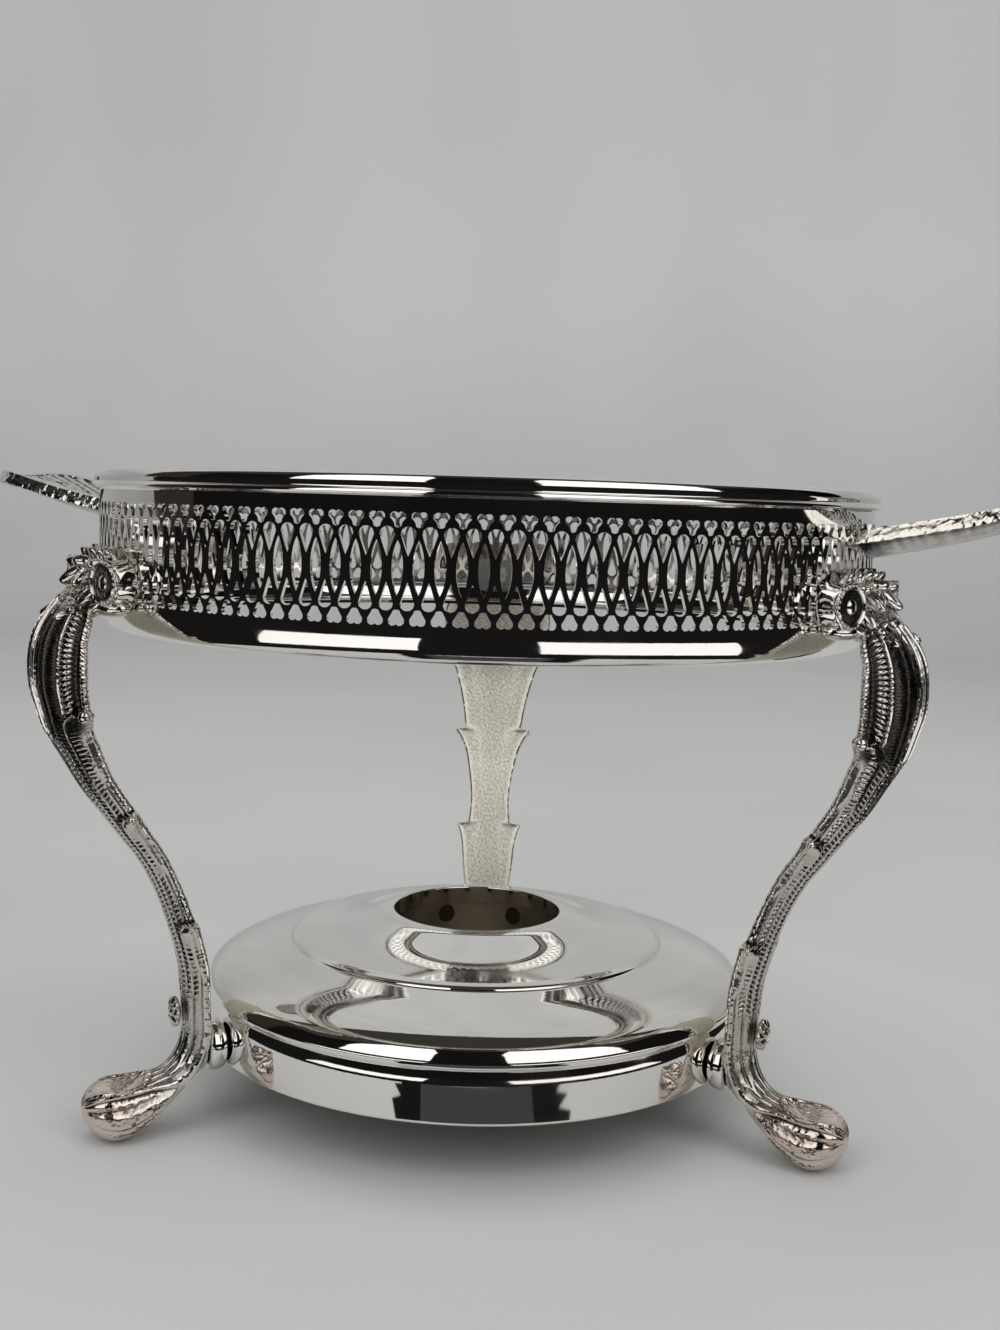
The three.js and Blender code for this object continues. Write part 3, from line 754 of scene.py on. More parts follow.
def pierced_ring(border, holes, count, radius, sheet, start):
    """One flat repeat filled round its holes, thickened, bent to a radius and copied round."""
    bm = bmesh.new()
    rim = loop_of(bm, border)
    loops = rim + [edge for hole in holes for edge in loop_of(bm, hole)]
    outline = {v for edge in rim for v in edge.verts}
    bmesh.ops.triangle_fill(bm, use_beauty=True, edges=loops, normal=(0, -1, 0))
    front = list(bm.faces)
    border_edges = [edge for edge in bm.edges if all(v in outline for v in edge.verts) and edge.is_boundary]
    bm.verts.index_update()
    border_keys = {frozenset(v.index for v in edge.verts) for edge in border_edges}
    made = bmesh.ops.extrude_face_region(bm, geom=front, use_keep_orig=True)
    back = [item for item in made["geom"] if isinstance(item, bmesh.types.BMVert)]
    bmesh.ops.translate(bm, verts=back, vec=(0, sheet, 0))
    seams = [
        face
        for face in bm.faces
        if len(face.verts) == 4
        and frozenset(v.index for v in face.verts if v.index >= 0 and v.co.y < sheet / 2) in border_keys
    ]
    bmesh.ops.delete(bm, geom=seams, context="FACES_ONLY")
    for vert in bm.verts:
        angle = vert.co.x / radius
        reach = radius - vert.co.y
        vert.co = Vector((reach * math.cos(angle), reach * math.sin(angle), vert.co.z))
    bmesh.ops.rotate(bm, verts=bm.verts, cent=(0, 0, 0), matrix=Matrix.Rotation(start, 3, "Z"))
    step = 2 * math.pi / count
    geometry = bm.verts[:] + bm.edges[:] + bm.faces[:]
    bmesh.ops.spin(
        bm,
        geom=geometry,
        cent=(0, 0, 0),
        axis=(0, 0, 1),
        angle=step * (count - 1),
        steps=count - 1,
        use_duplicate=True,
    )
    return bm


def gathered(parts):
    """Several forms in one mesh, each still closed by itself."""
    whole = bmesh.new()
    for part in parts:
        mesh = bpy.data.meshes.new("part")
        part.to_mesh(mesh)
        part.free()
        whole.from_mesh(mesh)
        bpy.data.meshes.remove(mesh)
    return whole


def merged_ring(*parts):
    """Several rings made one mesh, with their shared edges joined."""
    whole = gathered(parts)
    bmesh.ops.remove_doubles(whole, verts=whole.verts, dist=0.004)
    bmesh.ops.recalc_face_normals(whole, faces=whole.faces)
    return whole


right_side = [(x + PITCH, z) for x, z in reversed(WEAVE)]
repeat_border = [*WEAVE, (0, BAND_HIGH), *right_side, (0, BAND_LOW)]
gallery = pierced_ring(repeat_border, HOLES, LENSES, RING_R, SHEET, RING_TURN)
print("gallery repeat faces", len(gallery.faces) // LENSES)

# %% Wall above and below the piercing
FOLD = 4.5
FOLD_LAP = 2.5
FOLD_TOP = 157.0
RING_BOTTOM = 149.35


def bend(centre_r, centre_z, wide, high, start, end, steps):
    """Points on an oval arc, for a fold in the sheet."""
    angles = [(start + (end - start) * k / steps) * DEGREE for k in range(steps + 1)]
    return [(centre_r + wide * math.cos(a), centre_z + high * math.sin(a)) for a in angles]


fold_r = RING_R - FOLD
fold_high = FOLD_TOP - RING_BOTTOM
above = [
    (RING_R, BAND_HIGH),
    (RING_R, RIM_FOOT + 0.1),
    (RING_R - SHEET, RIM_FOOT + 0.1),
    (RING_R - SHEET, BAND_HIGH),
]
below = [
    (RING_R, BAND_LOW),
    *bend(fold_r, FOLD_TOP, FOLD, fold_high, 0, -90, 16),
    (fold_r - FOLD_LAP, RING_BOTTOM),
    (fold_r - FOLD_LAP, RING_BOTTOM + SHEET),
    *bend(fold_r, FOLD_TOP, FOLD - SHEET, fold_high - SHEET, -90, 0, 8),
    (RING_R - SHEET, BAND_LOW),
]
upper_wall = turned(above, RING_STEPS, closed=False, start=RING_TURN)
lower_wall = turned(below, RING_STEPS, closed=False, start=RING_TURN)
finish_piece(
    "pierced_gallery",
    merged_ring(gallery, upper_wall, lower_wall),
    plate,
    ["gallery_ring"],
    sharp=50 * DEGREE,
)

# %% [markdown]
# The base is one spun dome: two shallow tiers, a rounded shoulder and a straight skirt with a curled
# edge. Its opening is turned down into a short lip. Only its outside is polished.

# %% Base dome
DOME_STEPS = 288

dome_outside = filleted(
    [
        (27.0, 52.0, 0),
        (27.0, 57.3, 0.6),
        (31.0, 56.7, 1.8),
        (43.5, 52.0, 7.0),
        (57.8, 50.2, 0.6),
        (59.6, 49.4, 0.8),
        (60.2, 48.4, 0.7),
        (72.0, 45.9, 10.0),
        (80.5, 43.0, 6.0),
        (85.2, 40.2, 2.4),
        (86.9, 37.0, 1.2),
        (86.7, 35.2, 0.6),
        (85.0, 34.3, 0.4),
        (85.7, 31.3, 1.4),
        (86.2, 18.8, 1.0),
        (83.2, 18.8, 0.3),
    ],
    steps=7,
)
dome_inside = filleted(
    [
        (83.2, 20.0, 0),
        (84.9, 20.0, 0.4),
        (84.1, 33.6, 0.4),
        (84.8, 38.8, 2.0),
        (79.8, 41.8, 4.0),
        (60.0, 47.1, 0),
        (57.6, 49.0, 2.0),
        (43.5, 50.8, 6.0),
        (28.2, 55.9, 0.8),
        (28.2, 52.0, 0),
    ],
    steps=7,
)
dome = turned(dome_outside + dome_inside, DOME_STEPS)
inside = dome.verts.layers.float.new("inside")
inner_points = {(round(r, 2), round(z, 2)) for r, z in dome_inside}
for vert in dome.verts:
    if (round(math.hypot(vert.co.x, vert.co.y), 2), round(vert.co.z, 2)) in inner_points:
        vert[inside] = 1.0
finish_piece("base_shell", dome, plate, ["base_dome"], sharp=55 * DEGREE)

# %% [markdown]
# The burner's cup hangs under the opening. Its wall is pierced like the gallery, with eight round
# vents, and its floor and flange are turned.

# %% Burner cup
CUP_R = 31.2
CUP_SHEET = 1.2
VENTS = 8
VENT_R = 3.1
VENT_Z = 47.2
VENT_TURN = 22.5
FLANGE_R = CUP_R + 6
CUP_FLOOR = 28.6
WALL_LOW = 31.6
WALL_HIGH = 54.2
CUP_STEPS = 12

vent_pitch = 2 * math.pi * CUP_R / VENTS
wall_columns = [(k / CUP_STEPS - 0.5) * vent_pitch for k in range(CUP_STEPS + 1)]
vent_angles = [k * math.pi / 12 for k in range(24)]
vent = [(VENT_R * math.cos(a), VENT_Z + VENT_R * math.sin(a)) for a in vent_angles]
cup_border = [(x, WALL_LOW) for x in wall_columns] + [(x, WALL_HIGH) for x in reversed(wall_columns)]
cup_wall = pierced_ring(cup_border, [vent], VENTS, CUP_R, CUP_SHEET, VENT_TURN * DEGREE)
cup_top = [
    (CUP_R - CUP_SHEET, WALL_HIGH),
    (CUP_R - CUP_SHEET, 54.4),
    (FLANGE_R, 52.6),
    (FLANGE_R, 51.4),
    (CUP_R, 52.9),
]
cup_bottom = [
    (CUP_R, WALL_LOW),
    (CUP_R - 1, CUP_FLOOR - 0.6),
    (CUP_R - 3, CUP_FLOOR - CUP_SHEET),
    (0, CUP_FLOOR - CUP_SHEET),
    (0, CUP_FLOOR),
    (CUP_R - 4.2, CUP_FLOOR),
    (CUP_R - 2.2, CUP_FLOOR + 0.9),
    (CUP_R - CUP_SHEET, WALL_LOW),
]
cup_steps = VENTS * CUP_STEPS
finish_piece(
    "burner_well",
    merged_ring(cup_wall, turned(cup_bottom, cup_steps, False), turned(cup_top, cup_steps, False)),
    tin,
    ["burner_cup"],
)

# %% [markdown]
# The legs are sand castings. A sculptor would model one leg in wax, with leaf lobes, a rope of beads
# and rows of chasing, and it would be cast three times. Here a fine grid is bent round the leg, and
# its vertices are then pushed in and out as relief. One leg is drawn along +X and copied round.

# %% The run of a leg
# Each station: radius, height, half width, set-back of the edges behind the spine, thickness.
LEG_STATIONS = [
    (127.0, 163.0, 12.0, 3.0, 5.0),
    (134.0, 160.0, 16.5, 5.2, 5.0),
    (139.6, 152.5, 20.0, 7.2, 5.0),
    (142.0, 145.0, 21.0, 8.3, 5.0),
    (142.2, 136.0, 20.6, 8.6, 4.8),
    (140.5, 129.0, 18.6, 8.2, 4.8),
    (138.0, 121.5, 16.0, 7.2, 4.8),
    (133.8, 114.5, 13.9, 6.0, 4.6),
    (128.5, 105.5, 12.0, 5.0, 4.5),
    (123.0, 98.0, 10.8, 4.5, 4.4),
    (117.5, 90.5, 8.8, 4.1, 4.3),
    (111.3, 82.0, 7.6, 3.8, 4.3),
    (105.8, 71.0, 6.7, 3.6, 4.3),
    (101.7, 58.5, 8.0, 3.8, 4.5),
    (99.5, 49.0, 8.6, 4.0, 4.8),
    (98.7, 38.5, 7.7, 4.0, 5.2),
    (98.5, 30.0, 7.2, 4.2, 5.8),
    (100.3, 23.8, 7.1, 4.2, 6.8),
    (104.0, 19.2, 7.5, 2.8, 8.6),
    (111.5, 16.8, 8.9, 0.9, 12.8),
    (115.6, 16.3, 9.4, 0.6, 15.5),
    (119.0, 16.2, 9.6, 0.5, 16.2),
]
EDGE = 2.6
TOE_REACH = 9.4
SOLE_SHARE = 0.34  # of the toe's outside, from its middle line
TOE_LIFT = 0.38
CAP_ROWS = 18
KNEE_END = 118.0
KNEE_FADE = (117.0, 124.0)
TOE_FADE = (17.0, 23.0)
TOE_TAPER = 0.26
TOE_RIM = 0.12  # of the thickness, from the hollow's edge down to the wall
BACK_SHARE = 0.97  # of the half width, at the edges of the back
FINE_ROWS = 0.27
COARSE_ROWS = 0.4
STATION_STEPS = 40
# Each leaf tip: height, how far it stands out sideways, and how fast its lobe dies away.
LEAF_TIPS = [(126.5, 4.0, 9.0), (95.4, 4.4, 7.5), (62.9, 4.6, 6.5)]


def between(stations, t):
    """A smooth curve through a list of stations, t stations along."""
    last = len(stations) - 1
    i = min(int(t), last - 1)
    f = t - i
    around_it = [stations[min(max(k, 0), last)] for k in (i - 1, i, i + 1, i + 2)]
    return [
        0.5 * (2 * q + (r - p) * f + (2 * p - 5 * q + 4 * r - s) * f * f + (3 * q - p - 3 * r + s) * f**3)
        for p, q, r, s in zip(*around_it)
    ]


def leg_rows(stations):
    """Rows down the leg, closer together on the knee: (station values, direction, way along)."""
    steps = STATION_STEPS * (len(stations) - 1)
    dense = [between(stations, k / STATION_STEPS) for k in range(steps + 1)]
    rows = []
    passed = 0.0
    wanted = 0.0
    for a, b in zip(dense, dense[1:]):
        step = Vector((b[0] - a[0], b[1] - a[1]))
        while wanted <= passed + step.length:
            share = (wanted - passed) / step.length
            values = [p + share * (q - p) for p, q in zip(a, b)]
            rows.append((values, step.normalized(), wanted))
            wanted += FINE_ROWS if values[1] > KNEE_END else COARSE_ROWS
        passed += step.length
    (r, z, half, set_back, thickness), ahead, way = rows[-1]
    for k in range(1, CAP_ROWS + 1):
        angle = math.pi / 2 * k / CAP_ROWS
        shrink = math.cos(angle)
        reach = TOE_REACH * math.sin(angle)
        middle = z - (1 - shrink) * thickness * TOE_LIFT
        values = [r + reach, middle, half * shrink, set_back * shrink, thickness * shrink]
        rows.append((values, ahead, way + reach))
    return rows


LEG_ROWS = leg_rows(LEG_STATIONS)
print("rows in a leg", len(LEG_ROWS))


# %% Marks of the chaser's tools
def eased(low, high, x):
    """0 below low, 1 above high, and a smooth step between."""
    t = min(max((x - low) / (high - low), 0.0), 1.0)
    return t * t * (3 - 2 * t)


def rib(x, centre, half):
    """A round rib across x: 1 on its crest and 0 past its sides."""
    d = (x - centre) / half
    return math.sqrt(1 - d * d) if abs(d) < 1 else 0.0


def beads(way, pitch):
    """A row of round beads along the way: 1 on each and 0 between."""
    return abs(math.sin(math.pi * way / pitch)) ** 0.7


def grain(x, y, size):
    """Cast surface that was never filed smooth."""
    return noise.noise(Vector((x / size, y / size, 3.1)))


def arched(side, way, centre, half, top, arch):
    """A lobe along the leg with a round top: how high it stands at a place."""
    short = max(0.0, (top + arch - way) / arch)
    return rib(math.hypot((side - centre) / half, short), 0.0, 1.0)


# %% [markdown]
# On the knee each side has three lobes: a smooth panel by the double line down the middle, a lobe of
# fine ribs, and a rope of beads with a plain dark strip outside it. Below the knee rows of short
# strokes run between thin ridges, and a leaf lobe hangs from each tip. The ankle has plain mouldings.

# %% Relief of the leg
def knee_relief(side, way):
    """The knee's lobes, lines and rope of beads, alike on both sides of its middle."""
    lines = 0.7 * sum(rib(side, centre, 0.028) for centre in (0.05, 0.2))
    panel = 0.45 * arched(side, way, 0.26, 0.15, 13.0, 8.0)
    ribbed = arched(side, way, 0.53, 0.14, 9.0, 6.0)
    ribs = 0.14 * math.cos(2 * math.pi * (way - 2.5 * side) / 1.0) * (ribbed > 0.1)
    ridge = 0.7 * rib(side, 0.695, 0.022)
    rope = arched(side, way, 0.8, 0.075, 9.5, 4.0)
    twist = beads(way + 5 * side, 1.83)
    collar = 0.45 * arched(side, way, 0.8, 0.115, 7.6, 5.0) * (rope == 0)
    strip = -0.8 * rib(side, 0.925, 0.055)
    return lines + panel + 1.1 * ribbed + ribs + ridge + rope * (0.15 + 1.5 * twist) + collar + strip - 0.6


def stem_relief(side, way, x):
    """Rows of short slanting strokes between thin ridges, below the knee."""
    height = -0.2
    for centre, slant in ((0.27, 0.4), (0.55, -0.4), (0.81, 0.4)):
        height += rib(side, centre, 0.1) * (0.7 * beads(way + slant * x, 1.5) - 0.28)
    for centre in (0.1, 0.42, 0.68, 0.93):
        height += 0.45 * rib(side, centre, 0.045)
    return height


def leaf_relief(side, height, way):
    """The lobes under the leaf tips, and how much each hides the chasing beside it."""
    total = 0.0
    cover = 0.0
    for tip, _, length in LEAF_TIPS:
        down = tip - height
        if not 0 <= down < 2.6 * length:
            continue
        fade = 1 - eased(1.5 * length, 2.6 * length, down)
        lobe = rib(math.hypot((side - 0.84) / 0.2, max(0.0, (3.0 - down) / 3.0)), 0.0, 1.0) * fade
        row = rib(side, 0.84, 0.08) * eased(4.0, 6.5, down) * fade
        total += 1.0 * lobe + row * (0.55 * beads(way, 1.5) - 0.45)
        cover = max(cover, min(1.0, 3 * lobe))
    return total, cover


def neck_relief(way, x):
    """Rough scales on the neck, under the capital."""
    nearest = noise.voronoi(Vector((x / 2.4, way / 2.0, 0.5)))[0][0]
    return 0.85 - 1.5 * min(nearest, 0.8) + 0.25 * grain(x, way, 0.7)


def ankle_relief(side, height):
    """Plain folds down the ankle, and a beaded collar round it."""
    folds = 0.45 * rib(side, 0.0, 0.2) + 0.45 * rib(side, 0.48, 0.18) + 0.4 * rib(side, 0.86, 0.13)
    collar = 0.7 * rib(height, 45.0, 0.9) * (0.4 + 0.6 * beads(8 * side, 1.6))
    return folds + collar - 0.2


def knee_patina(side, way):
    """How dark the plate is left between the raised lines of the knee, from 0 to 1."""
    lines = max(rib(side, centre, 0.026) for centre in (0.05, 0.2, 0.695))
    panels = 0.6 * eased(9.0, 14.0, way) * (1 - eased(0.66, 0.7, side))
    gap = 0.65 * eased(0.7, 0.72, side)
    beaded = rib(side, 0.8, 0.075) * beads(way + 5 * side, 1.83)
    return max(panels, gap) * (1 - lines) * (1 - min(1.0, 1.6 * beaded))


def spoon_distance(v, share):
    """0 in the middle of the toe's hollow and 1 on its lip."""
    return math.hypot(v / 0.88, (share - 0.66) / 0.28)


def foot_relief(v, share):
    """Long ridges that run out into a spoon-shaped hollow on top of the toe."""
    side = abs(v)
    run = 1 - eased(0.3, 0.56, share)
    ridges = sum(rib(side, centre * (0.75 + 0.4 * share), 0.15) for centre in (0.0, 0.44, 0.8))
    spoon = spoon_distance(v, share)
    hollow = -3.6 * (1 - eased(0.0, 1.0, spoon))
    lip = 0.7 * rib(spoon, 1.08, 0.12)
    creases = 0.7 * rib(spoon, 1.26, 0.07) + 0.6 * rib(spoon, 1.46, 0.07)
    worn = 0.2 * grain(8 * v, 30 * share, 0.9) * eased(0.3, 0.5, share)
    return run * (0.75 * ridges - 0.35) + hollow + lip - creases * eased(0.5, 0.8, share) + worn


def wall_relief(side, share):
    """The toe's rough walls, which end in a groove above its plain round sole."""
    wall = eased(SOLE_SHARE, SOLE_SHARE + 0.12, side)
    grooves = 0.35 * rib(side, 0.9, 0.08) + 0.15 * rib(side, 0.62, 0.08)
    groove = -0.8 * rib(side, SOLE_SHARE, 0.06)
    rough = 0.2 * grain(12 * side, 26 * share, 0.9) + 0.2 * grain(12 * side, 26 * share, 0.3)
    return eased(0.25, 0.45, share) * (groove + wall * (grooves + rough))


def leg_relief(v, x, height, way, foot_share):
    """Height of the relief on the leg's front, each zone running into the next."""
    side = abs(v)
    if foot_share > 0:
        blend = eased(0.0, 0.14, foot_share)
        return (1 - blend) * ankle_relief(side, height) + blend * foot_relief(v, foot_share)
    knee = eased(*KNEE_FADE, height)
    ankle = 1 - eased(40.0, 45.0, height)
    relief = knee * knee_relief(side, way) if knee > 0 else 0.0
    if knee < 1 and ankle < 1:
        relief += (1 - knee) * (1 - ankle) * stem_relief(side, way, x)
    lobe, cover = leaf_relief(side, height, way)
    relief = (1 - cover) * relief + lobe
    if ankle > 0:
        relief += ankle * ankle_relief(side, height)
    neck = 1 - eased(7.0, 10.0, way - 3.5 * rib(side, 0.6, 0.1))
    return (1 - neck) * relief + neck * neck_relief(way, x) + 0.05 * grain(x, way, 0.8)


# %% [markdown]
# The skin is a flat grid with a row for each step down the leg and a column for each step round it.
# Bending it keeps every part of the casting in one closed mesh, fine enough for the chasing. The
# relief is stored first and pushed out last, when the bent skin's normals are known.

# %% Columns round the leg
FRONT_COLUMNS = 104
SIDE_COLUMNS = 6
BACK_COLUMNS = 44


def section_columns():
    """Once round the leg: the front from -1 to 1, one side, the back, and the other side."""
    front = [("front", 2 * k / FRONT_COLUMNS - 1) for k in range(FRONT_COLUMNS + 1)]
    right = [("right", k / SIDE_COLUMNS) for k in range(1, SIDE_COLUMNS)]
    back = [("back", 1 - 2 * k / BACK_COLUMNS) for k in range(BACK_COLUMNS + 1)]
    left = [("left", 1 - k / SIDE_COLUMNS) for k in range(1, SIDE_COLUMNS)]
    return [*front, *right, *back, *left, front[0]]


def leaf_spread(height, way):
    """How far the leaf tips widen the leg: a sudden edge on top, dying away below."""
    total = 0.2 * beads(way, 1.7) * eased(118.0, 126.0, height)
    for tip, reach, length in LEAF_TIPS:
        down = tip - height
        if down > -0.6:
            total += reach * eased(-0.6, 0.5, down) * math.exp(-max(down, 0.0) / length)
    return total


def toe_wall(side, top, half, rim, thickness):
    """The toe's outside: its wall runs out and down from the rim, and the sole tucks in under it."""
    low = 0.7 * thickness
    if side > SOLE_SHARE:
        down = (1 - side) / (1 - SOLE_SHARE)
        return top + (half - top) * math.sin(down * math.pi / 2), rim + (low - rim) * down
    tuck = side / SOLE_SHARE
    return half * math.sin(tuck * math.pi / 2), low + (thickness - low) * math.cos(tuck * math.pi / 2)


def section_point(part, place, values, extra):
    """A point of the leg's section: (across, behind the spine)."""
    _, height, half, set_back, thickness = values
    edge = max(min(EDGE, thickness), thickness - set_back)
    toe = 1 - eased(*TOE_FADE, height)
    if toe > 0:
        top = half * (1 - TOE_TAPER * toe)
        if part == "front":
            return top * place, set_back * place * place
        rim = set_back + TOE_RIM * thickness
        if part == "back":
            across, behind = toe_wall(abs(place), top, half, rim, thickness)
            plain = thickness + (set_back + edge - thickness) * place * place
            across = toe * across + (1 - toe) * BACK_SHARE * half * abs(place)
            return across * (1 if place > 0 else -1), toe * behind + (1 - toe) * plain
        low = toe * rim + (1 - toe) * (set_back + edge)
        low_width = toe * top + (1 - toe) * BACK_SHARE * half
        wide = top + (low_width - top) * place + 0.4 * math.sin(math.pi * place)
        return wide * (1 if part == "right" else -1), set_back + (low - set_back) * place
    under = BACK_SHARE - 0.2 * eased(4.0, 14.0, edge)
    if part in ("front", "back"):
        outer = extra * eased(0.5, 1.0, abs(place)) * (1 if place > 0 else -1)
        if part == "front":
            return half * place + outer, set_back * place * place
        return under * half * place + outer, thickness + (set_back + edge - thickness) * place * place
    angle = place * math.pi
    across = half * (1 - (1 - under) * place) + extra + min(0.3 * edge, 0.8) * math.sin(angle)
    return across * (1 if part == "right" else -1), set_back + edge * 0.5 * (1 - math.cos(angle))


# %% Skin of the leg
FOOT_TOP = 24.0
SEAM = 0.002


def leg_place(row, across, behind):
    """Where a point of a row's section lies."""
    (r, z, *_), ahead, _ = row
    return Vector((r + ahead.y * behind, across, z - ahead.x * behind))


def close_skin(bm):
    """Joins a bent grid's seam, fills its ends and turns its faces outwards."""
    bmesh.ops.remove_doubles(bm, verts=bm.verts, dist=SEAM)
    bmesh.ops.holes_fill(bm, edges=[edge for edge in bm.edges if edge.is_boundary], sides=0)
    bmesh.ops.recalc_face_normals(bm, faces=bm.faces)


def leg_skin():
    """The grid bent round every section, with the relief pushed out along its normals."""
    columns = section_columns()
    foot_way = next(way for values, _, way in LEG_ROWS if values[1] < FOOT_TOP)
    end_way = LEG_ROWS[-1][2]
    bm = bmesh.new()
    bmesh.ops.create_grid(bm, x_segments=len(columns) - 1, y_segments=len(LEG_ROWS) - 1, size=0.5)
    push = bm.verts.layers.float.new("push")
    raw = bm.verts.layers.float.new("raw")
    patina_and_shade = bm.verts.layers.float.new("patina_and_shade")
    rubbed = bm.verts.layers.float.new("rubbed")
    for vert in bm.verts:
        part, place = columns[round((vert.co.x + 0.5) * (len(columns) - 1))]
        number = round((vert.co.y + 0.5) * (len(LEG_ROWS) - 1))
        values, _, way = LEG_ROWS[number]
        foot_share = max(0.0, (way - foot_way) / (end_way - foot_way))
        extra = 0.0 if foot_share else leaf_spread(values[1], way)
        x, behind = section_point(part, place, values, extra)
        vert.co = leg_place(LEG_ROWS[number], x, behind)
        fade = min(1.0, (len(LEG_ROWS) - 1 - number) / CAP_ROWS)
        if part == "front":
            vert[push] = leg_relief(place, x, values[1], way, foot_share) * fade
        else:
            vert[push] = 0.16 * grain(1.3 * x, way, 0.9) * fade
        if part == "back" and foot_share > 0:
            vert[push] = wall_relief(abs(place), foot_share) * fade
        vert[raw] = 1 - eased(0.05, 0.3, foot_share) if part == "back" else 0.0
        vert[rubbed] = 0.1 + 0.6 * eased(0.15, 0.5, foot_share)
        if part == "front":
            vert[patina_and_shade] = knee_patina(abs(place), way) * eased(*KNEE_FADE, values[1])
            if foot_share > 0.3:
                worn_bare = 1 - eased(0.6, 1.1, spoon_distance(place, foot_share))
                vert[raw] = 0.3 * worn_bare
                vert[patina_and_shade] = -0.22 * worn_bare
    close_skin(bm)
    bm.normal_update()
    pushed = [vert.co + vert.normal * vert[push] for vert in bm.verts]
    for vert, place in zip(bm.verts, pushed):
        vert.co = Vector((place.x, place.y, max(place.z, 0.0)))
    bm.verts.layers.float.remove(push)
    return bm


def mark_hollows(bm, rounds=14, depth=0.32):
    """Stores how deep each point lies below a smoothed copy, from 0 to 1, and adds its patina and painted
    shade.
    """
    layer = bm.verts.layers.float.new("hollow")
    patina_and_shade = bm.verts.layers.float.get("patina_and_shade")
    bm.normal_update()
    before = [(vert.co.copy(), vert.normal.copy()) for vert in bm.verts]
    for _ in range(rounds):
        bmesh.ops.smooth_vert(
            bm, verts=bm.verts, factor=0.6, use_axis_x=True, use_axis_y=True, use_axis_z=True
        )
    for vert, (place, normal) in zip(bm.verts, before):
        below = (vert.co - place).dot(normal)
        # The stored value is patina on the legs and painted shade under the handles.
        stain_and_shade = vert[patina_and_shade] if patina_and_shade else 0.0
        vert[layer] = min(max(0.5 + below / (2 * depth) + stain_and_shade, 0.0), 1.0)
        vert.co = place


def turned_copy(bm, azimuth):
    """A copy of a piece drawn along +X, turned to its own place round the ring."""
    copied = bm.copy()
    copied.transform(Matrix.Rotation(azimuth * DEGREE, 4, "Z"))
    return copied


LEG_PLACES = {"left": 210, "right": 330, "back": 90}
leg_form = leg_skin()
mark_hollows(leg_form)
for side, azimuth in LEG_PLACES.items():
    finish_piece("cast_leg_" + side, turned_copy(leg_form, azimuth), cast, ["leg_" + side])
leg_form.free()

# %% [markdown]
# Each leg's capital is cast with it: two scrolls, a flower between them, and leaves all round. Round
# forms are turned about their own axis. Each leaf starts as a ball that is drawn out, curled and
# veined, as a modeller would press it from a pellet of wax.

# %% Pellets, leaves and flowers
RADIAL = Matrix.Rotation(math.pi / 2, 4, "Y")  # turns a form drawn about +Z to look outwards, along +X


def at_place(r, across, z, yaw=0.0, pitch=0.0):
    """A frame at a place, turned sideways by yaw and raised by pitch, in degrees."""
    spot = Matrix.Translation((r, across, z))
    return spot @ Matrix.Rotation(yaw * DEGREE, 4, "Z") @ Matrix.Rotation(-pitch * DEGREE, 4, "Y")


def lathed(outline, steps, place):
    """A form turned about its own axis: its outline runs from the axis back to the axis."""
    bm = turned(outline, steps, closed=False)
    bm.transform(place)
    return bm


def pellet(radius, place, sides):
    """A ball of wax."""
    bm = bmesh.new()
    bmesh.ops.create_uvsphere(bm, u_segments=sides, v_segments=sides // 2, radius=radius, matrix=place)
    return bm


def bead_ring(count, ring_radius, radius, along, place):
    """Beads in a ring about a form's axis."""
    steps = [2 * math.pi * k / count for k in range(count)]
    spots = [(ring_radius * math.cos(a), ring_radius * math.sin(a), along) for a in steps]
    return gathered([pellet(radius, place @ Matrix.Translation(spot), 10) for spot in spots])


def leaf(length, width, thick, curl, veins, place):
    """A leaf from a ball: drawn out to a blunt tip, curled up and veined on both sides."""
    bm = bmesh.new()
    bmesh.ops.create_uvsphere(bm, u_segments=40, v_segments=24, radius=1)
    for vert in bm.verts:
        x, y, z = vert.co
        share = (x + 1) / 2
        taper = 1.0 - 0.45 * share * share
        grooves = 0.15 * math.cos(veins * math.pi * y + 5 * share) - 0.25 * rib(abs(y), 0.0, 0.12)
        lift = 1 + grooves * (1 - x * x) if veins else 1
        blunt = max(1 - x * x, 0.02) ** -0.2
        y *= blunt * taper
        z *= blunt * lift
        vert.co = Vector((length * share, width / 2 * y, thick / 2 * z + curl * share * share))
    bm.transform(place)
    return bm


def petalled(radius, thick, petals, place):
    """A small flower: a flattened ball with scalloped petals and a button in its middle."""
    bm = bmesh.new()
    bmesh.ops.create_uvsphere(bm, u_segments=72, v_segments=24, radius=1)
    for vert in bm.verts:
        x, y, z = vert.co
        out = math.hypot(x, y)
        wave = abs(math.cos(petals / 2 * math.atan2(y, x)))
        edge = 1 - 0.13 * (1 - wave) * out
        button = 0.5 * rib(out, 0.0, 0.3) - 0.25 * rib(out, 0.36, 0.08)
        front = 0.55 + 0.45 * wave * eased(0.25, 0.6, out) + button
        vert.co = Vector((radius * x * edge, radius * y * edge, thick / 2 * z * (front if z > 0 else 1.0)))
    bm.transform(place)
    return bm


# %% Capitals and bosses
CAPITAL_Z = 164.4
SCREW_Z = 24.2
SCROLL_R = 124.3
SCROLL_ACROSS = 18.3
SCROLL_YAW = 18
LEAF_LENGTH = 0.92  # of the length in the list
LEAF_THICKNESS = 1.35  # of the thickness in the list
BARREL = [
    (0, -4.2), (5.9, -4.2), (6.4, -3.4), (6.2, -1.6), (6.15, 1.2),
    (6.4, 2.0), (6.3, 2.6), (5.8, 2.8), (0, 2.8),
]
BARREL_FACE = [
    (0, 2.4), (5.6, 2.4), (5.9, 3.0), (5.5, 3.5), (5.0, 3.2),
    (4.6, 2.9), (3.4, 3.1), (2.2, 3.0), (1.6, 3.5), (0, 3.7),
]
BOSS = [(0, 92.1), (6.2, 92.1), (7.0, 92.8), (7.0, 93.8), (5.8, 95.0), (5.2, 97.0), (0, 98.0)]
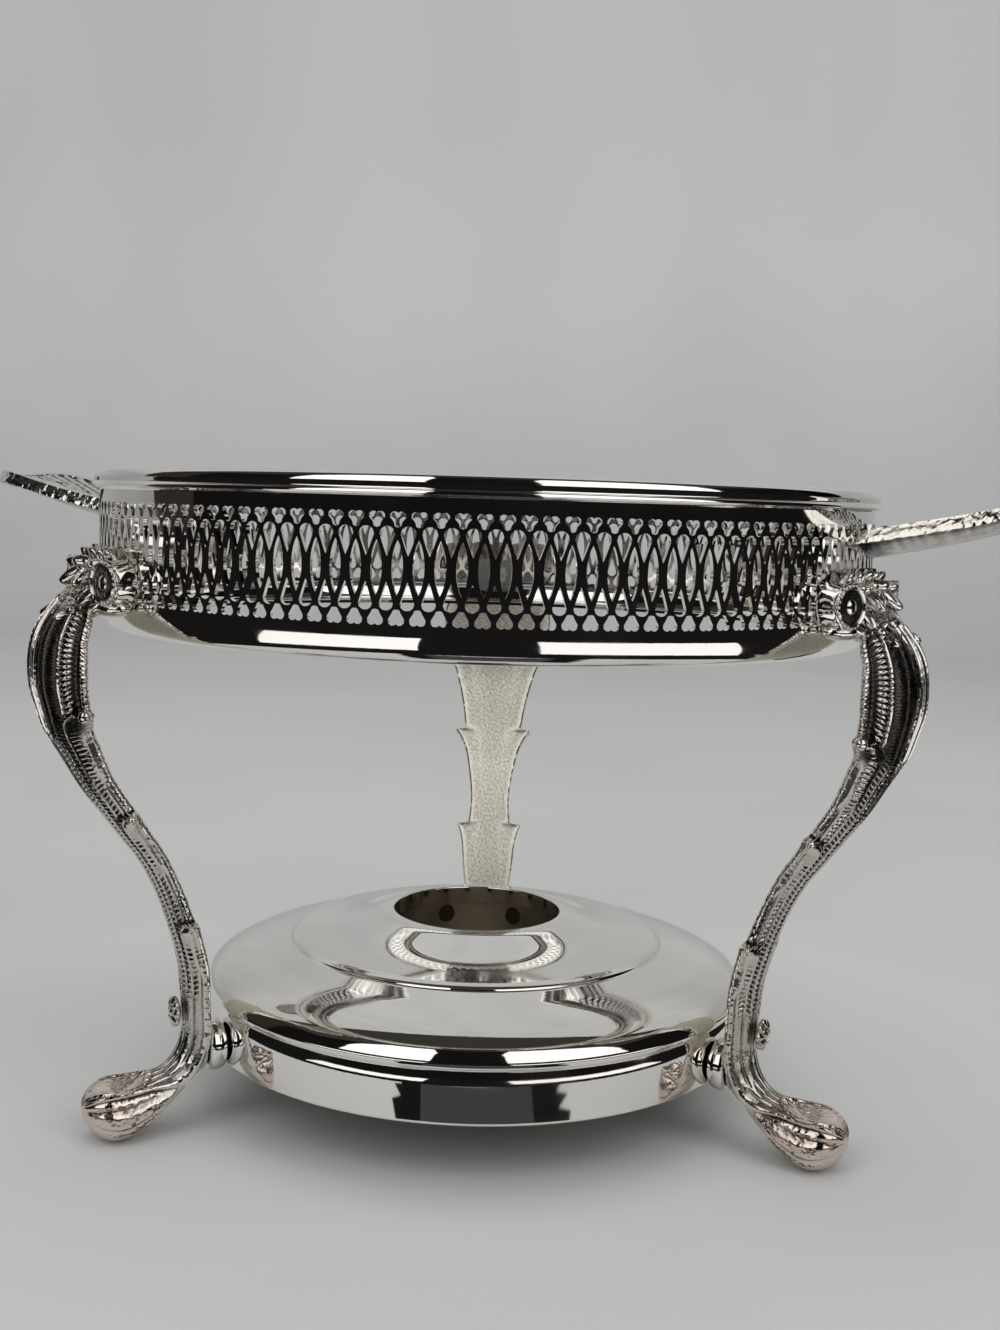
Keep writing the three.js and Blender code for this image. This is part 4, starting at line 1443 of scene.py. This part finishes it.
# Leaves of half a capital: radius, across, height, yaw, pitch, length, width, thickness, curl, veins.
LEAVES = [
    (122.6, 6.6, 167.6, 8, 78, 6.6, 6.4, 2.4, -1.4, 3),
    (122.4, 13.2, 167.8, 12, 80, 6.2, 6.4, 2.2, -1.6, 3),
    (126.0, 5.6, 168.6, 18, -52, 9.4, 6.2, 3.0, 1.8, 3),
    (125.0, 10.8, 169.8, 24, -30, 5.4, 5.0, 2.6, 1.4, 2),
    (126.4, 11.0, 163.4, -10, -62, 8.4, 6.6, 3.0, 1.6, 3),
    (126.6, 5.2, 160.6, 12, -40, 9.8, 6.4, 3.0, 1.0, 3),
    (124.6, 15.6, 159.4, -28, -40, 9.0, 5.4, 2.8, 1.2, 2),
    (128.4, 13.0, 156.4, -6, -48, 8.0, 5.4, 2.6, 1.6, 2),
    (131.4, 8.6, 157.0, 10, -36, 7.6, 5.6, 2.6, 1.2, 3),
    (119.8, 20.6, 157.6, -34, -4, 10.4, 7.4, 3.4, 0.4, 0),
]
MIDDLE_LEAVES = [
    (122.8, 0, 167.8, 0, 76, 6.8, 7.0, 2.4, -1.6, 3),
    (125.6, 0, 170.0, 0, -22, 5.6, 6.6, 2.8, 1.2, 3),
    (127.0, 0, 159.6, 0, -34, 8.0, 7.0, 3.0, 1.0, 3),
]
KNOB_SIZES = (1.9, 1.3, 0.9)
PLATE_Z = 165.3
PLATE_HALF_HEIGHT = 8.1
PLATE_HALF_TURN = 9.9
PLATE_GAP = 0.35
PLATE_FACE = 1.9


def placed_leaf(row, side):
    """A leaf from its row in a list, on one side of the capital or mirrored to the other."""
    r, across, z, yaw, pitch, length, width, thick, curl, veins = row
    place = at_place(r, side * across, z, side * yaw, pitch)
    return leaf(LEAF_LENGTH * length, width, LEAF_THICKNESS * thick, curl, veins, place)


def wall_plate():
    """The plate behind the capital, bent to the ring, with a wavy edge."""
    bm = bmesh.new()
    bmesh.ops.create_grid(bm, x_segments=96, y_segments=34, size=0.5)
    for vert in bm.verts:
        u = 2 * vert.co.x
        v = 2 * vert.co.y
        angle = (PLATE_HALF_TURN + 0.25 * math.cos(9 * v)) * DEGREE * u
        height = PLATE_Z + (PLATE_HALF_HEIGHT + 0.5 * math.cos(5 * math.pi * u)) * v
        reach = RING_R + PLATE_FACE + 0.7 * rib(abs(u), 0.93, 0.1) + 0.2 * math.cos(16 * u + 3 * v)
        vert.co = Vector((reach * math.cos(angle), reach * math.sin(angle), height))
    faces = bm.faces[:]
    made = bmesh.ops.extrude_face_region(bm, geom=faces, use_keep_orig=True)
    for item in made["geom"]:
        if isinstance(item, bmesh.types.BMVert):
            flat = Vector((item.co.x, item.co.y, 0)).normalized() * (RING_R + PLATE_GAP)
            item.co = Vector((flat.x, flat.y, item.co.z))
    bmesh.ops.recalc_face_normals(bm, faces=bm.faces)
    return bm


def tip_knobs():
    """A ball at each leaf tip, set into the leg's edge."""
    knobs = []
    for (tip, *_), radius in zip(LEAF_TIPS, KNOB_SIZES):
        row = next(row for row in LEG_ROWS if row[0][1] < tip - 0.4)
        across = row[0][2] + leaf_spread(row[0][1], row[2]) - 0.45 * radius
        for side in (-1, 1):
            knobs.append(pellet(radius, Matrix.Translation(leg_place(row, side * across, row[0][3])), 20))
    return knobs


def barrel_place(side):
    """Where a scroll lies beside the middle of the capital."""
    return at_place(SCROLL_R, side * SCROLL_ACROSS, CAPITAL_Z, side * SCROLL_YAW) @ RADIAL


def leg_ornament():
    """Everything that stands proud of a leg's skin, drawn along +X, apart from the two scrolls."""
    parts = [wall_plate(), *tip_knobs()]
    for side in (-1, 1):
        parts.append(lathed(BARREL_FACE, 48, barrel_place(side)))
        parts.append(bead_ring(24, 5.7, 0.5, 3.1, barrel_place(side)))
        parts += [placed_leaf(row, side) for row in LEAVES]
    parts += [placed_leaf(row, 1) for row in MIDDLE_LEAVES]
    parts.append(petalled(3.9, 3.4, 7, at_place(128.4, 0, CAPITAL_Z) @ RADIAL))
    core = at_place(124.6, 0, CAPITAL_Z - 0.5) @ Matrix.Diagonal((4.6, 13.0, 6.6, 1))
    parts.append(pellet(1.0, core, 32))
    boss = at_place(0, 0, SCREW_Z) @ RADIAL
    parts.append(lathed(BOSS, 40, boss))
    parts.append(bead_ring(17, 6.6, 0.8, 93.6, boss))
    return gathered(parts)


ornament = leg_ornament()
mark_hollows(ornament, rounds=6, depth=0.4)
scrolls = gathered([lathed(BARREL, 64, barrel_place(way)) for way in (-1, 1)])
for side, azimuth in LEG_PLACES.items():
    chased = turned_copy(ornament, azimuth)
    finish_piece("leg_ornament_" + side, chased, cast, ["leg_" + side])
    rolled = turned_copy(scrolls, azimuth)
    finish_piece("scrolls_" + side, rolled, plate, ["leg_" + side])
ornament.free()
scrolls.free()

# %% [markdown]
# A turned distance piece keeps each ankle off the skirt, on the screw that holds the base. A small
# rosette stands on a stud on the ankle's front.

# %% Spacers and rosettes
SPACER_START = 86.3
SPACER = [
    (2.3, 0), (6.4, 0), (7.2, 0.4), (7.65, 1.4), (7.8, 2.7),
    (7.65, 4.0), (7.2, 5.0), (6.4, 5.4), (2.3, 5.4),
]
spacer_place = at_place(SPACER_START, 0, SCREW_Z) @ RADIAL
spacer_form = turned(filleted([(r, z, 0.3) for r, z in SPACER], 3), 64)
spacer_form.transform(spacer_place)
rosette_front = (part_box("rosette_back")[1].y - AXIS.y) / MM
ROSETTE_THICK = 3.2
ROSETTE_Z = 35.8
rosette_place = at_place(rosette_front - ROSETTE_THICK / 2, 0, ROSETTE_Z) @ RADIAL
rosette_form = petalled(4.8, ROSETTE_THICK, 8, rosette_place)
mark_hollows(rosette_form, rounds=3, depth=0.3)
for side, azimuth in LEG_PLACES.items():
    spacer = turned_copy(spacer_form, azimuth)
    finish_piece("turned_spacer_" + side, spacer, plate, ["base_spacer_" + side])
    flower = turned_copy(rosette_form, azimuth)
    finish_piece("flower_" + side, flower, cast, ["rosette_" + side])
spacer_form.free()
rosette_form.free()

# %% [markdown]
# The handles are cast tongues, slightly dished and grained on top like a leaf, with a plain upright
# edge, a rounded underside and a ball at the tip. Their roots follow the ring's wall.

# %% Handles
HANDLE_ROOT_Z = 184.3
HANDLE_R = (RING_R + 0.4, RING_R + 60.0)
# Each station: share of the way out, rise, depth, half width.
HANDLE_STATIONS = [
    (0.0, 0.0, 7.8, 24.0),
    (0.25, 3.0, 7.8, 24.0),
    (0.5, 6.1, 7.3, 23.8),
    (0.72, 9.3, 6.7, 22.3),
    (0.86, 10.8, 6.0, 19.2),
    (0.95, 10.6, 5.2, 13.9),
    (1.0, 9.6, 4.2, 5.2),
]
TIP_RISE = HANDLE_STATIONS[-1][1]
HANDLE_AZIMUTHS = {"right": -18, "left": 162}
HANDLE_ROWS = 150
TOP_COLUMNS = 84
UNDER_COLUMNS = 36
EDGE_COLUMNS = 6
HANDLE_EDGE = 3.5
HANDLE_DISH = 1.4
EDGE_SLOPE = 1.9


def handle_columns():
    """Once round the tongue: over the top, down one edge, back underneath and up the other edge."""
    top = [("top", 2 * k / TOP_COLUMNS - 1) for k in range(TOP_COLUMNS + 1)]
    right = [("right", k / EDGE_COLUMNS) for k in range(1, EDGE_COLUMNS + 1)]
    under = [("under", 1 - 2 * k / UNDER_COLUMNS) for k in range(UNDER_COLUMNS + 1)]
    left = [("left", 1 - k / EDGE_COLUMNS) for k in range(EDGE_COLUMNS)]
    return [*top, *right, *under, *left, top[0]]


def tongue_relief(across, half, r):
    """Top of the tongue: a plain band along the edge, and veins and grain inside it."""
    inside = half - abs(across) - 0.7 * grain(r, across, 3.0)
    band = 1 - eased(2.4, 3.0, inside)
    veins = 0.3 * math.sin(1.5 * abs(across) - 0.9 * r) * eased(1.0, 4.0, abs(across))
    middle = 0.4 * rib(across, 0.0, 0.8)
    rough = 0.3 * grain(r, across, 0.9) + 0.35 * grain(r, across, 2.2)
    lip = 1.4 * rib(r, RING_R + 2.8, 1.6)
    return (1 - band) * (veins + middle + rough - 0.35) + 0.2 * band + lip


def handle_skin():
    """A grid bent round the tongue, from the ring's wall to the tip."""
    columns = handle_columns()
    bm = bmesh.new()
    bmesh.ops.create_grid(bm, x_segments=len(columns) - 1, y_segments=HANDLE_ROWS, size=0.5)
    patina_and_shade = bm.verts.layers.float.new("patina_and_shade")
    rubbed = bm.verts.layers.float.new("rubbed")
    for vert in bm.verts:
        part, place = columns[round((vert.co.x + 0.5) * (len(columns) - 1))]
        share = vert.co.y + 0.5
        reach, rise, depth, half = between(HANDLE_STATIONS, share * (len(HANDLE_STATIONS) - 1))
        r = HANDLE_R[0] + reach * (HANDLE_R[1] - HANDLE_R[0])
        z = HANDLE_ROOT_Z + rise
        ragged = HANDLE_EDGE + 0.45 * grain(r, 7.0, 2.4)
        if part == "top":
            across = place * max(half - EDGE_SLOPE, 0.3)
            z += tongue_relief(across, half - EDGE_SLOPE, r) * (1 - eased(0.97, 1.0, share))
            z -= HANDLE_DISH * (1 - place * place)
        elif part == "under":
            across = place * (0.97 * half - 0.5)
            z -= ragged + (depth - ragged) * (1 - place * place) + 0.1 * grain(r, across, 1.2)
            # Painted shade: the underside is darkened, most at its root by the wall and towards its edges.
            root = 1 - eased(2.0, 9.0, r - RING_R)
            vert[patina_and_shade] = 0.12 + 0.35 * root + 0.2 * rib(abs(place), 1.0, 0.12)
            vert[rubbed] = 0.5
        else:
            slope = min(EDGE_SLOPE, half - 0.3) * (1 - place) ** 1.3
            across = (half - slope + 0.3 * grain(r, 6 * place, 1.3)) * (1 if part == "right" else -1)
            z -= ragged * place
        wall_gap = HANDLE_R[0] - math.sqrt(HANDLE_R[0] ** 2 - across * across)
        vert.co = Vector((r - wall_gap * (1 - reach) ** 2, across, z))
    close_skin(bm)
    return bm


BALL_R = 2.0
BALL_REACH = 1.1
BALL_DROP = 2.1
ball_place = (HANDLE_R[1] + BALL_REACH, 0, HANDLE_ROOT_Z + TIP_RISE - BALL_DROP)
ball = pellet(BALL_R, Matrix.Translation(ball_place), 32)
handle_form = gathered([handle_skin(), ball])
mark_hollows(handle_form, rounds=10, depth=0.3)
for side, azimuth in HANDLE_AZIMUTHS.items():
    tongue = turned_copy(handle_form, azimuth)
    finish_piece("tongue_" + side, tongue, cast, ["handle_" + side])
handle_form.free()

# %% [markdown]
# The screws and the plates behind the wall hardly show, so their solids stay as they are. They are
# taken to be plain plated steel.

# %% Steel for the nodes that stay
staying = {name: node for name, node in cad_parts.items() if not node.hide_render}
for node in staying.values():
    node.data.materials.clear()
    node.data.materials.append(steel)
print("solids that stay", sorted(staying))
